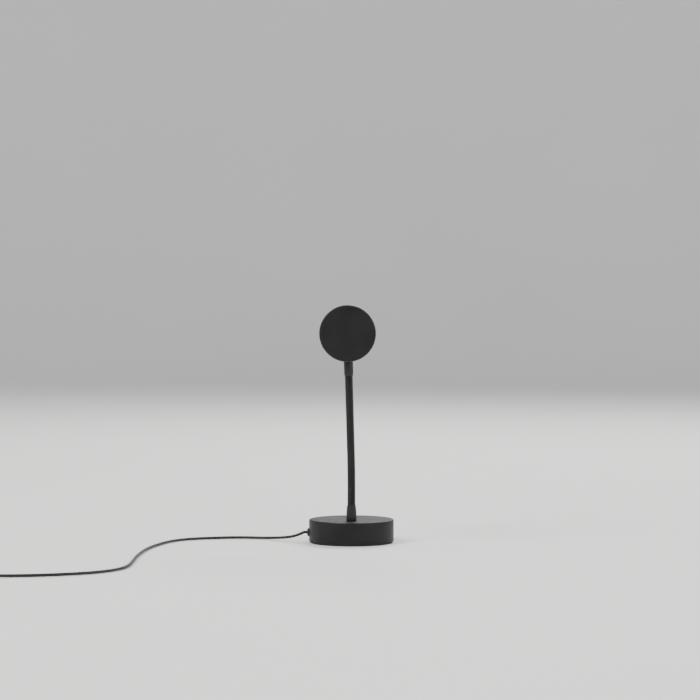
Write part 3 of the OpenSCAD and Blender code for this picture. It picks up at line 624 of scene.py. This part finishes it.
def lofted(name, rings):
    """A skin over rings of as many points each, with flat ends."""
    count = len(rings[0])
    points = [p for ring in rings for p in ring]
    faces = []
    for a in range(0, len(points) - count, count):
        b = a + count
        faces += [[a + k, a + (k + 1) % count, b + (k + 1) % count, b + k]
                  for k in range(count)]
    faces += [list(range(count)), list(range(len(points) - count, len(points)))]
    return mesh_of(name, points, faces)


def rectangle(length, width, corner):
    """A rectangle with round corners about its middle."""
    return rounded([(sx * length / 2, sy * width / 2, corner)
                    for sx, sy in ((1, 1), (-1, 1), (-1, -1), (1, -1))])


def tube(name, path, radius, sides, side=(1, 0, 0)):
    """A solid rod along path. side is any direction that the path never follows."""
    rings = []
    for i, at in enumerate(path):
        along = (path[min(i + 1, len(path) - 1)] - path[max(i - 1, 0)]).normalized()
        across = Vector(side).cross(along).normalized()
        third = along.cross(across)
        rings.append([at + radius * (math.cos(2 * math.pi * k / sides) * across
                                     + math.sin(2 * math.pi * k / sides) * third)
                      for k in range(sides)])
    return lofted(name, rings)


def smooth_path(points, steps):
    """The smooth curve through points, with steps pieces between two of them."""
    points = [Vector(p) for p in points]
    out = []
    for i in range(len(points) - 1):
        a, b, c, d = (points[max(i - 1, 0)], points[i], points[i + 1],
                      points[min(i + 2, len(points) - 1)])
        for k in range(steps):
            u = k / steps
            out.append(0.5 * (2 * b + (c - a) * u + (2 * a - 5 * b + 4 * c - d) * u ** 2
                              + (3 * b - a - 3 * c + d) * u ** 3))
    return out + [points[-1]]


def carved(mesh, tools, operation="DIFFERENCE"):
    """mesh with each of tools cut away, or joined on with UNION."""
    scene = bpy.context.scene.collection
    body = bpy.data.objects.new("work", mesh)
    scene.objects.link(body)
    for tool in tools:
        helper = bpy.data.objects.new("tool", tool)
        scene.objects.link(helper)
        cut = body.modifiers.new("cut", "BOOLEAN")
        cut.operation = operation
        cut.solver = "EXACT"
        cut.object = helper
        bpy.context.view_layer.update()
        result = bpy.data.meshes.new_from_object(
            body.evaluated_get(bpy.context.evaluated_depsgraph_get()))
        body.modifiers.clear()
        body.data = result
        bpy.data.objects.remove(helper)
        bpy.data.meshes.remove(tool)
    bpy.data.objects.remove(body)
    return result


def box_mesh(name, low, high):
    points = [(x, y, z) for z in (low[2], high[2])
              for x, y in ((low[0], low[1]), (high[0], low[1]),
                           (high[0], high[1]), (low[0], high[1]))]
    return lofted(name, [points[:4], points[4:]])


# Places on the lamp, in millimetres ----------------------------------------------

BASE_R = 45
BASE_TOP = 24.5
PAD_R = 44
PAD_T = 1.5

# The neck's joints from the lowest up, and the bodies that they join
NECK = sorted((Vector(j["pos_m"]) / MM for j in frame["joints"] if j["type"] == "hinge"),
              key=lambda at: at.z)
LINK_BODIES = ["base"] + [f"link_{i:02d}" for i in range(1, len(NECK))] + ["head"]
NECK_Y = NECK[0].y
LEAN_UP = (NECK[-1] - NECK[-2]).normalized()

# The head's heights run along the beam from its rear face.
HEAD_UP = 45.5  # from the last joint to the head's axis
HEAD_AT = NECK[-1] + HEAD_UP * LEAN_UP
NECK_FROM_REAR = 26
HEAD_LENGTH = 70
HEAD_R = 29.6
BARREL_R = 27.5  # inside the barrel
SLIDE_R = 27.4  # what slides into the barrel
SEAT_R = 24.5  # inside the lens seat, and inside the sink's collar
CAP_END = 4
SINK_END = 15.2
SEAT_END = 54
BEZEL_START = 58.2
BARREL_END = 66
FILTER_R = 17

UPRIGHT = Matrix.Translation((0, 0, 0))
IN_HEAD = (Matrix.Translation((HEAD_AT.x, HEAD_AT.y - NECK_FROM_REAR, HEAD_AT.z))
           @ Matrix.Rotation(math.radians(-90), 4, "X"))


def piece(name, mesh, body, node, sharp=30):
    """A piece that rides on body and stands for the node, in the node's finish."""
    made = add_piece(name, mesh, slot_of_node(node), sharp)
    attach(made, body)
    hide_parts(node)
    return made


def finish_nodes():
    """Every CAD node gets its material, also those that stay hidden."""
    for node, made in frame["nodes"].items():
        for slot in made.material_slots:
            slot.material = MATERIALS[slot_of_node(node)]


# Base ----------------------------------------------------------------------------

def make_base():
    """The housing, open below, and the foam pad under it."""
    wall, top, rim = 2.2, 2.5, 0.3
    piece("base_housing", turned("base_housing", [
        (0, BASE_TOP), (BASE_R, BASE_TOP, 1.4), (BASE_R, PAD_T, rim),
        (BASE_R - wall, PAD_T, rim), (BASE_R - wall, BASE_TOP - top, 1),
        (0, BASE_TOP - top)], UPRIGHT, 192), "base", "base_shell")
    piece("foot_foam", turned("foot_foam", [
        (0, PAD_T), (PAD_R, PAD_T), (PAD_R, 0, 0.35), (0, 0)], UPRIGHT, 192),
        "base", "foot_pad", 60)


def make_bush():
    """The domed bush in the wall, and the lead's stretch behind it."""
    bore, groove, flange = 1.55, 3.3, 4.5
    outwards = (Matrix.Translation((-BASE_R, 0, EXIT_HEIGHT))
                @ Matrix.Rotation(math.radians(-90), 4, "Y"))
    piece("wall_bush", turned("wall_bush", [
        (bore, -3.8, 0.1), (flange, -3.8, 0.3), (flange, -2.25, 0.1), (groove, -2.25),
        (groove, -0.06), (flange, -0.06, 0.1), (4.4, 0.55, 0.4), (3.9, 1.35, 0.5),
        (3.1, 1.95, 0.5), (2.4, 2.2, 0.25), (1.75, 2.2, 0.15), (bore, 1.9)],
        outwards, 72), "base", "strain_relief")
    path = [Vector((x, 0, EXIT_HEIGHT)) for x in (MOUTH_X + 0.1, -20, -7.3)]
    piece("lead_inside", tube("feed", path, LEAD_R, 24, (0, 0, 1)), "base", "feed_lead")


# Neck ----------------------------------------------------------------------------

WINDING_R = 4.35
CREST_R = 1.3
PITCH = 2.25
BORE_R = 2.1
CORE_R = 1.4  # the lead inside the neck
CORE_SIDES = 16
CORE_STEPS = 12
AROUND = 40
CREST_ANGLES = [-60, -45, -30, -15, 0, 15, 30, 45]
WORN_ANGLE = 25  # how far down its sides a crest is worn
SUNK = 7  # how deep the winding's ends sit in the ferrules
BLEND_REACH = 3.2
FROM_ABOVE = (5, 13)  # joints where rounding spoils a blend that starts from below


def neck_middle(z):
    """The neck's middle at height z, on the line through its joints."""
    for below, above in zip(NECK, NECK[1:]):
        if z <= above.z:
            break
    if z < NECK[0].z:
        return Vector((NECK[0].x, NECK_Y, z))
    return below + (above - below) * ((z - below.z) / (above.z - below.z))


def open_loops(form, height):
    """The open edges of form that lie at one height."""
    return [e for e in form.edges if e.is_boundary
            and all(abs(v.co.z - height) < NEAR for v in e.verts)]


def add_crests(form, low, high):
    """The helix of round crests, worn on top and cut flat at the two heights."""
    wear = form.verts.layers.float.new("edge")
    first = math.floor((low - NECK[0].z) / PITCH) - 2
    last = math.ceil((high - NECK[0].z) / PITCH) + 1
    rows = []
    for turn in range(first, last + 1):
        for angle in CREST_ANGLES:
            crest = math.radians(angle)
            radius = WINDING_R - CREST_R + CREST_R * math.cos(crest)
            rows.append([form.verts.new((
                radius * math.cos(2 * math.pi * k / AROUND),
                radius * math.sin(2 * math.pi * k / AROUND),
                NECK[0].z + PITCH * (turn + k / AROUND) + CREST_R * math.sin(crest)))
                for k in range(AROUND)])
            for vert in rows[-1]:
                vert[wear] = max(0, 1 - abs(angle) / WORN_ANGLE)
    step = len(CREST_ANGLES)
    for i in range(len(rows) - 1 - step):
        for k in range(AROUND):
            right = [rows[i][k + 1], rows[i + 1][k + 1]] if k + 1 < AROUND else [
                rows[i + step][0], rows[i + step + 1][0]]
            form.faces.new([rows[i][k], right[0], right[1], rows[i + 1][k]])
    for height, outer in ((low, False), (high, True)):
        bmesh.ops.bisect_plane(
            form, geom=form.verts[:] + form.edges[:] + form.faces[:], dist=NEAR / 10,
            plane_co=(0, 0, height), plane_no=(0, 0, 1), clear_outer=outer,
            clear_inner=not outer)


def add_bore(form, low, high, levels=8):
    """The wall of the bore between two heights."""
    bore =[[form.verts.new((BORE_R * math.cos(2 * math.pi * k / AROUND),
                             BORE_R * math.sin(2 * math.pi * k / AROUND),
                             low + (high - low) * i / levels)) for k in range(AROUND)]
            for i in range(levels + 1)]
    for lower, upper in zip(bore, bore[1:]):
        for k in range(AROUND):
            form.faces.new([lower[k], upper[k], upper[(k + 1) % AROUND],
                            lower[(k + 1) % AROUND]])


def winding(name, low, high):
    """The winding between two heights: one helix of round crests about a bore."""
    form = bmesh.new()
    add_crests(form, low, high)
    add_bore(form, low, high)
    for height in (low, high):
        bmesh.ops.bridge_loops(form, edges=open_loops(form, height))
    bmesh.ops.recalc_face_normals(form, faces=form.faces)
    for vert in form.verts:
        vert.co.x += neck_middle(vert.co.z).x
        vert.co.y += NECK_Y
    mesh = bpy.data.meshes.new(name)
    form.to_mesh(mesh)
    form.free()
    return mesh


def bend_at_joint(made, i):
    """made's placement, baked into its mesh; the ends about the neck's joint i are worked out but not used."""
    reach = Vector((0, 0, BLEND_REACH))
    ends = [(LINK_BODIES[i], NECK[i] - reach), (LINK_BODIES[i + 1], NECK[i] + reach)]
    if i in FROM_ABOVE:
        ends.reverse()
    (first, start), (second, end) = ends
    start * MM
    end * MM
    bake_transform(made)


def make_neck():
    """The winding and the lead in it, in stretches that each span one joint."""
    middles = [(a.z + b.z) / 2 for a, b in zip(NECK, NECK[1:])]
    cuts = [NECK[0].z - SUNK] + middles + [NECK[-1].z + SUNK]
    for i, (low, high) in enumerate(zip(cuts, cuts[1:])):
        turns = add_piece(f"winding_{i:02d}", winding(f"winding_{i:02d}", low, high),
                          slot_of_node("neck_link_01"), 40)
        for link in (i, i + 1):
            if 1 <= link < len(NECK):
                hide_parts(f"neck_link_{link:02d}")
        bend_at_joint(turns, i)
        path = [neck_middle(low + (high - low) * k / CORE_STEPS)
                for k in range(CORE_STEPS + 1)]
        core = add_piece(f"neck_core_{i:02d}", tube("core", path, CORE_R, CORE_SIDES),
                         slot_of_node("neck_lead"))
        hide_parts("neck_lead")
        bend_at_joint(core, i)
    make_core_ends(cuts[0], cuts[-1])


def make_core_ends(low, high):
    """The neck's lead from the driver board up to low, and from high into the head."""
    below = smooth_path([
        (0.8, -4.3, 11.4), (0.6, -5.8, 11.4), (0, -12.15, 11.4), (0, -17.6, 12.3),
        (0, -19.4, 14.3), (0, -20, 16.8), (0, -20, BASE_TOP), (0, -20, low)], 4)
    piece("neck_core_base", tube("core", below, CORE_R, CORE_SIDES), "base", "neck_lead")
    up, out = LEAN_UP, Vector((0, 1, 0))
    above = smooth_path([neck_middle(high), HEAD_AT - 16 * up,
                         HEAD_AT - 14.4 * up + 0.95 * out, HEAD_AT - 11.9 * up + 1.35 * out,
                         HEAD_AT - 9.3 * up + 1.35 * out], 4)
    piece("neck_core_head", tube("core", above, CORE_R, CORE_SIDES), "head", "neck_lead")


def sleeve_outline(radius, foot_round, shank, taper, drawn, shares):
    """A sleeve from its foot up, drawn in over its last taper millimetres. shares are
    the parts of the taper that get a point."""
    socket, lip, socket_floor = WINDING_R + 0.15, WINDING_R + 0.25, 9
    end = shank + taper
    outline = [(BORE_R, 0), (radius, 0, foot_round), (radius, shank)]
    outline += [(radius - drawn * u * u, shank + taper * u) for u in shares]
    return outline + [(lip, end, 0.08), (socket, end), (socket, socket_floor),
                      (BORE_R, socket_floor)]


def make_ferrules():
    """Turned sleeves, each with a socket for the winding and a lip drawn in to it."""
    lower = sleeve_outline(5.4, 0.35, 5.4, 11, 0.8, (0.15, 0.3, 0.45, 0.6, 0.75, 0.9))
    at = Matrix.Translation((NECK[0].x, NECK_Y, BASE_TOP))
    piece("lower_sleeve", turned("lower_sleeve", lower, at, 96), "base",
          "neck_ferrule_lower")
    upper = sleeve_outline(4.9, 0.3, 11.9, 4, 0.3, (0.2, 0.4, 0.6, 0.8))
    foot_up = 16.5  # from the last joint to the upper sleeve's foot
    tilt = Vector((0, 0, 1)).rotation_difference(-LEAN_UP).to_matrix().to_4x4()
    at = Matrix.Translation(NECK[-1] + foot_up * LEAN_UP) @ tilt
    piece("upper_sleeve", turned("upper_sleeve", upper, at, 96), "head",
          "neck_ferrule_upper")


# Head ----------------------------------------------------------------------------

FINE = 0.25  # the round on the head's turned edges


def dome(radius, edge, thick, steps=40):
    """Points of a lens's dome of that radius, from its foot to its middle."""
    rise = thick - edge
    ball = (radius * radius + rise * rise) / (2 * rise)
    widest = math.asin(radius / ball)
    return [(ball * math.sin(widest * (1 - k / steps)),
             thick - ball + ball * math.cos(widest * (1 - k / steps)))
            for k in range(steps + 1)]


def make_rear():
    """The rear cap on its spigot, and the finned heat sink with its post and collar."""
    spigot_r, spigot_end = 17.8, 6
    piece("rear_cover", turned("rear_cover", [
        (0, 0), (HEAD_R, 0, 1.5), (HEAD_R, CAP_END, FINE), (spigot_r, CAP_END),
        (spigot_r, spigot_end), (0, spigot_end)], IN_HEAD, 192), "head", "rear_cap")
    pocket_r, pocket_end = 18, 12
    fin, root_r = 1.6, HEAD_R - 4
    fins = [(pocket_r, CAP_END), (HEAD_R, CAP_END, FINE)]
    for k in range(3):
        start = CAP_END + fin + 2 * fin * k
        fins += [(HEAD_R, start, FINE), (root_r, start, 0.3),
                 (root_r, start + fin, 0.3), (HEAD_R, start + fin, FINE)]
    collar_end, post_r, post_end = 17.6, 14, 24
    fins += [(HEAD_R, SINK_END, FINE), (SLIDE_R, SINK_END), (SLIDE_R, collar_end, 0.4),
             (SEAT_R, collar_end, 0.4), (SEAT_R, SINK_END), (post_r, SINK_END),
             (post_r, post_end, 0.3), (0, post_end), (0, pocket_end),
             (pocket_r, pocket_end)]
    piece("cooling_fins", turned("cooling_fins", fins, IN_HEAD, 192), "head",
          "heat_sink")


def make_front():
    """The barrel with its lens seat, and the bezel that closes it."""
    seat_start, mouth_r = 52, 25.6
    piece("head_tube", turned("head_tube", [
        (BARREL_R, SINK_END), (HEAD_R, SINK_END, FINE), (HEAD_R, BARREL_END, FINE),
        (BARREL_R, BARREL_END), (BARREL_R, SEAT_END), (SEAT_R, SEAT_END, 0.3),
        (SEAT_R, seat_start, 0.3), (BARREL_R, seat_start)],
        IN_HEAD, 192), "head", "head_barrel")
    piece("front_ring", turned("front_ring", [
        (mouth_r, BEZEL_START), (SLIDE_R, BEZEL_START), (SLIDE_R, BARREL_END),
        (HEAD_R, BARREL_END, FINE), (HEAD_R, HEAD_LENGTH, 1.2), (27, HEAD_LENGTH, 0.25),
        (mouth_r, HEAD_LENGTH - 1.2, 0.3)], IN_HEAD, 192), "head", "front_bezel")


def make_optics():
    """The main lens on its seat, the gasket round it, and the coloured filter."""
    lens_r, edge, thick, dome_r = 27.3, 3, 15.5, 25.3
    lens = [(0, 0), (lens_r, 0, 0.4), (lens_r, edge, 0.4)]
    lens += dome(dome_r, edge, thick)[:-1] + [(0, thick)]
    on_seat = IN_HEAD @ Matrix.Translation((0, 0, SEAT_END))
    piece("projector_lens", turned("projector_lens", lens, on_seat, 224), "head",
          "main_lens")
    inner, outer, low, high = 25.65, 27.25, 57.02, 58.18
    piece("lens_seal", turned("lens_seal", [
        (inner, low, 0.3), (outer, low, 0.3), (outer, high, 0.3), (inner, high, 0.3)],
        IN_HEAD, 160), "head", "lens_gasket")
    rear, front = 39, 40.1
    piece("sunset_disc", turned("sunset_disc", [
        (0, rear), (FILTER_R, rear, 0.2), (FILTER_R, front, 0.2), (0, front)],
        IN_HEAD, 128), "head", "colour_filter")


# Lead's pieces -------------------------------------------------------------------

def make_strap():
    """A strap once round the coil's turns, with its end lapped over itself."""
    low, high, inner, outer = 0.7, 7.3, -283.95, -269.75
    thick, width, round_r, edge_r = 0.6, 6, 1.6, 0.2
    lap = 0.68  # how far the lapped end is lifted
    centre = Vector(((inner + outer) / 2, (low + high) / 2))
    half = Vector(((outer - inner) / 2, (high - low) / 2))
    loop = []
    for sx, sy, from_deg in ((1, 1, 0), (-1, 1, 90), (-1, -1, 180), (1, -1, 270)):
        corner = centre + Vector((sx * (half.x - round_r), sy * (half.y - round_r)))
        loop += [(corner, math.radians(from_deg + 15 * k)) for k in range(7)]
    steps = [(corner, angle, 0) for corner, angle in loop[3:] + loop[:3]]
    steps += [(*loop[3], 0.6 * lap)] + [(*loop[k], lap) for k in range(4, 8)]
    rings = []
    for corner, angle, lift in steps:
        out = Vector((math.cos(angle), math.sin(angle)))
        middle = round_r + lift + thick / 2
        ring = []
        for x, away in rectangle(width, thick, edge_r):
            at = corner + out * (middle + away)
            ring.append((MOUTH_X + COIL_AT[0] + x, at.x, at.y))
        rings.append(ring)
    piece("coil_strap", lofted("coil_strap", rings), "base", "coil_tie", 40)


SWITCH_X = MOUTH_X + TAIL_X
CASE_WIDTH = 17
CASE_HEIGHT = 10.5
CASE_CORNER = 4
COLLAR = 5
SEAM_CHAMFER = 0.15
BUTTON_R = 4.3
SCREW_X = 11.5
SCREW_R = 0.95
SCREW_HEAD_R = 1.7
IN_SWITCH = (Matrix.Translation((SWITCH_X, CASE_Y + CASE_LENGTH / 2, 0))
             @ Matrix.Rotation(math.radians(90), 4, "Z"))


def case_rings(heights):
    """Outlines of the switch's case at (height, inset) steps."""
    length = CASE_LENGTH - 2 * COLLAR
    return [[(x, y, z) for x, y in rectangle(length - 2 * inset, CASE_WIDTH - 2 * inset,
                                             CASE_CORNER - min(inset, 1))]
            for z, inset in heights]


def curved_edge(z_flat, z_end, reach):
    """(height, inset) steps of a rounded rim from the side at z_flat to the face."""
    return [(z_flat + (z_end - z_flat) * math.sin(a), reach * (1 - math.cos(a)))
            for a in QUARTER]


def case_hollow(low, high):
    """The room inside the case between two heights, for cutting."""
    inner = rectangle(20, CASE_WIDTH - 3, 2.6)
    return lofted("hollow", [[(x, y, z) for x, y in inner] for z in (low, high)])


def screw_holes(outline):
    """The two screw holes of the case, for cutting: each is outline turned."""
    return [turned("screw_hole", outline, Matrix.Translation((x, 0, 0)), 48)
            for x in (-SCREW_X, SCREW_X)]


def collars(upper):
    """The half of the case's round end collars above or below the seam."""
    half = CASE_LENGTH / 2
    ends = [(0, 2.9), (0.3, 3.2), (1.4, 3.2), (1.5, 3.0), (1.9, 3.0), (2, 3.2)]
    outline = [(x - half, radius) for x, radius in ends]
    outline += [(half - x, radius) for x, radius in reversed(ends)]
    turn = [math.radians(a if upper else -a) for a in range(0, 181, 12)]
    return lofted("collars", [
        [(x, radius * math.cos(a), CASE_SEAM + radius * math.sin(a)) for a in turn]
        for x, radius in outline])


def make_lower_case():
    """The lower half of the case, with sunk holes for the two screws."""
    rim, floor, head_end, past_seam = 0.7, 1.4, 1.2, 7
    lower = lofted("lower", case_rings(
        curved_edge(rim, 0, rim)[::-1]
        + [(CASE_SEAM - SEAM_CHAMFER, 0), (CASE_SEAM, SEAM_CHAMFER)]))
    lower = carved(lower, [collars(False)], "UNION")
    lower = carved(lower, [case_hollow(floor, past_seam), *screw_holes([
        (0, -1), (SCREW_HEAD_R, -1), (SCREW_HEAD_R, head_end), (SCREW_R, head_end),
        (SCREW_R, past_seam), (0, past_seam)])])
    lower.transform(IN_SWITCH)
    piece("switch_lower_half", lower, "base", "switch_case_lower", 25)


def make_upper_case():
    """The upper half of the case, with the button's hole in a dished rim."""
    under_seam, ceiling, screw_end = 3, 9.1, 8.6
    upper = lofted("upper", case_rings(
        [(CASE_SEAM, SEAM_CHAMFER), (CASE_SEAM + SEAM_CHAMFER, 0)]
        + curved_edge(CASE_HEIGHT - 1.6, CASE_HEIGHT, 1.3)))
    upper = carved(upper, [collars(True)], "UNION")
    hole_r, dish_r = BUTTON_R + 0.3, BUTTON_R + 1.5
    dish = turned("dish", [
        (0, 8), (hole_r, 8), (hole_r, 10, 0.2), (dish_r, CASE_HEIGHT + 0.2, 0.5),
        (dish_r, 12), (0, 12)], UPRIGHT, 96)
    upper = carved(upper, [case_hollow(under_seam, ceiling), dish, *screw_holes([
        (0, under_seam), (SCREW_R, under_seam), (SCREW_R, screw_end), (0, screw_end)])])
    upper.transform(IN_SWITCH)
    piece("switch_upper_half", upper, "base", "switch_case_upper", 25)


def make_button():
    """The dished push button with its flange, and the spring under it."""
    top = CASE_HEIGHT + 2
    flange_r, flange_low, flange_high = 5.4, 8.1, 8.9
    button = turned("button", [
        (0, flange_low), (flange_r, flange_low, 0.1), (flange_r, flange_high, 0.1),
        (BUTTON_R, flange_high), (BUTTON_R, top, 0.7), (3.2, top, 0.4),
        (2.6, top - 0.18, 0.5), (1.2, top - 0.32), (0, top - 0.35)], IN_SWITCH, 96)
    piece("push_button", button, "button", "switch_button")
    wire_r, spring_r, low, high = 0.25, 2.7, 5.25, 7.85
    turn, steps = math.pi / 8, 40
    coils = [Vector((spring_r * math.cos(turn * k), spring_r * math.sin(turn * k),
                     low + (high - low) * k / steps)) for k in range(steps + 1)]
    spring = tube("spring", coils, wire_r, 10, (0, 0, 1))
    spring.transform(IN_SWITCH)
    made = add_piece("button_coil", spring, "steel_bright")
    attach(made, "base")
    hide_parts("button_spring")
    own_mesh(made)


GRIP_LENGTH = 22
GRIP_WIDE = 15.6
GRIP_THICK = 8.0
GRIP_CORNER = 1.79
GRIP_EDGE = 0.6  # the round at the grip's open end
SLEEVE = 6
SLEEVE_WIDE = 6.8  # where the sleeve meets the block
SLEEVE_CORNER = 3.39
RIB_PITCH = 1.6
FINGER_RESTS = (10, 12.6, 15.2)
STATION = 0.1  # from one outline of the grip to the next
IN_PLUG = (Matrix.Translation((SWITCH_X, PLUG_Y, 0))
           @ Matrix.Rotation(math.radians(90), 4, "Z"))


def grip_section(x, width, height, corner):
    return [(x, y, PLUG_HEIGHT + z) for y, z in rectangle(width, height, corner)]


def grip_sleeve():
    """Outlines of the ribbed sleeve, and of the shoulder where it widens."""
    rings = []
    x = 0.0
    while x <= SLEEVE - 0.3:
        swell = 2.4 + 1.0 * x / SLEEVE
        groove = 0.45 if 0.6 < x % RIB_PITCH < 1.1 and x < SLEEVE - 1 else 0
        size = 2 * (swell - groove)
        rings.append(grip_section(x, size, size, size / 2 - 0.01))
        x += STATION
    for a in QUARTER:
        grow = math.sin(a)
        rings.append(grip_section(
            SLEEVE + 1.2 * (1 - math.cos(a)),
            SLEEVE_WIDE + (GRIP_WIDE - SLEEVE_WIDE) * grow,
            SLEEVE_WIDE + (GRIP_THICK - SLEEVE_WIDE) * grow,
            SLEEVE_CORNER + (GRIP_CORNER - SLEEVE_CORNER) * grow))
    return rings


def grip_block():
    """Outlines of the block with its finger rests, up to its rounded end."""
    rest_r, rest_out, rest_half = 1.4, 0.9, 1.07
    rings = []
    x = SLEEVE + 1.4
    while x < GRIP_LENGTH - 0.8:
        rest = 0
        for middle in FINGER_RESTS:
            if abs(x - middle) < rest_half:
                rest = math.sqrt(rest_r ** 2 - (x - middle) ** 2) - rest_out
        rings.append(grip_section(x, GRIP_WIDE - 2 * rest, GRIP_THICK, GRIP_CORNER))
        x += STATION
    for a in QUARTER:
        inset = GRIP_EDGE * (1 - math.cos(a))
        rings.append(grip_section(
            GRIP_LENGTH - GRIP_EDGE + GRIP_EDGE * math.sin(a), GRIP_WIDE - 2 * inset,
            GRIP_THICK - 2 * inset, GRIP_CORNER))
    return rings


def make_plug_grip():
    """The moulded grip, with a pocket in its end for the metal shell."""
    deep, half_wide, half_high = 5.05, 6.08, 2.33
    grip = carved(lofted("grip", grip_sleeve() + grip_block()), [box_mesh(
        "pocket", (GRIP_LENGTH - deep, -half_wide, PLUG_HEIGHT - half_high),
        (GRIP_LENGTH + 1, half_wide, PLUG_HEIGHT + half_high))])
    grip.transform(IN_PLUG)
    piece("plug_grip", grip, "base", "usb_overmould", 35)


# Room and lights -------------------------------------------------------------------

LAMP_MIDDLE = Vector((0, 0, 0.12))  # in metres


def make_room():
    """A wide pale floor that rises into a wall all round."""
    flat, wall, height, bend = 4200, 6500, 2600, 1800
    outline = [(0, 0), (flat, 0)]
    outline += [(wall - bend + bend * math.sin(math.radians(a)),
                 bend - bend * math.cos(math.radians(a))) for a in range(0, 91, 6)]
    thick, deep, gap = 100, 50, 0.3
    outline += [(wall, height), (wall + thick, height), (wall + thick, -deep), (0, -deep)]
    mesh = turned("floor", outline, Matrix.Translation((0, 0, -gap)), 128)
    floor = scaled_object("floor", mesh, pale_floor("pale floor"))


def area_light(name, at, size, power, colour):
    """A soft rectangular light that faces the middle of the lamp."""
    data = bpy.data.lights.new(name, "AREA")
    data.shape = "RECTANGLE"
    data.size, data.size_y = size
    data.energy = power
    data.color = colour
    light = bpy.data.objects.new(name, data)
    light.location = at
    aim = LAMP_MIDDLE - Vector(at)
    light.rotation_euler = aim.to_track_quat("-Z", "Y").to_euler()
    bpy.context.scene.collection.objects.link(light)


def make_lights():
    world = bpy.data.worlds.new("studio")
    world.use_nodes = True
    back = world.node_tree.nodes["Background"]
    back.inputs["Color"].default_value = (0.93, 0.95, 1.0, 1)
    back.inputs["Strength"].default_value = 0.6
    bpy.context.scene.world = world
    area_light("key", (-1.9, -1.6, 2.3), (1.6, 1.6), 95, (1, 0.98, 0.95))
    area_light("fill", (2.3, -1.3, 1.5), (1.8, 1.4), 36, (0.95, 0.97, 1))
    area_light("rim", (0.7, 2.1, 2.2), (2.4, 1.0), 80, (1, 0.99, 0.97))


MATERIALS = make_materials(HEAD_AT * MM)
finish_nodes()
lead = make_lead(MATERIALS["lead_black"])
make_base()
make_bush()
make_neck()
make_ferrules()
make_rear()
make_front()
make_optics()
make_strap()
make_lower_case()
make_upper_case()
make_button()
make_plug_grip()
make_room()
make_lights()


def corners(bounds):
    return [[float(v) for v in corner] for corner in bounds]
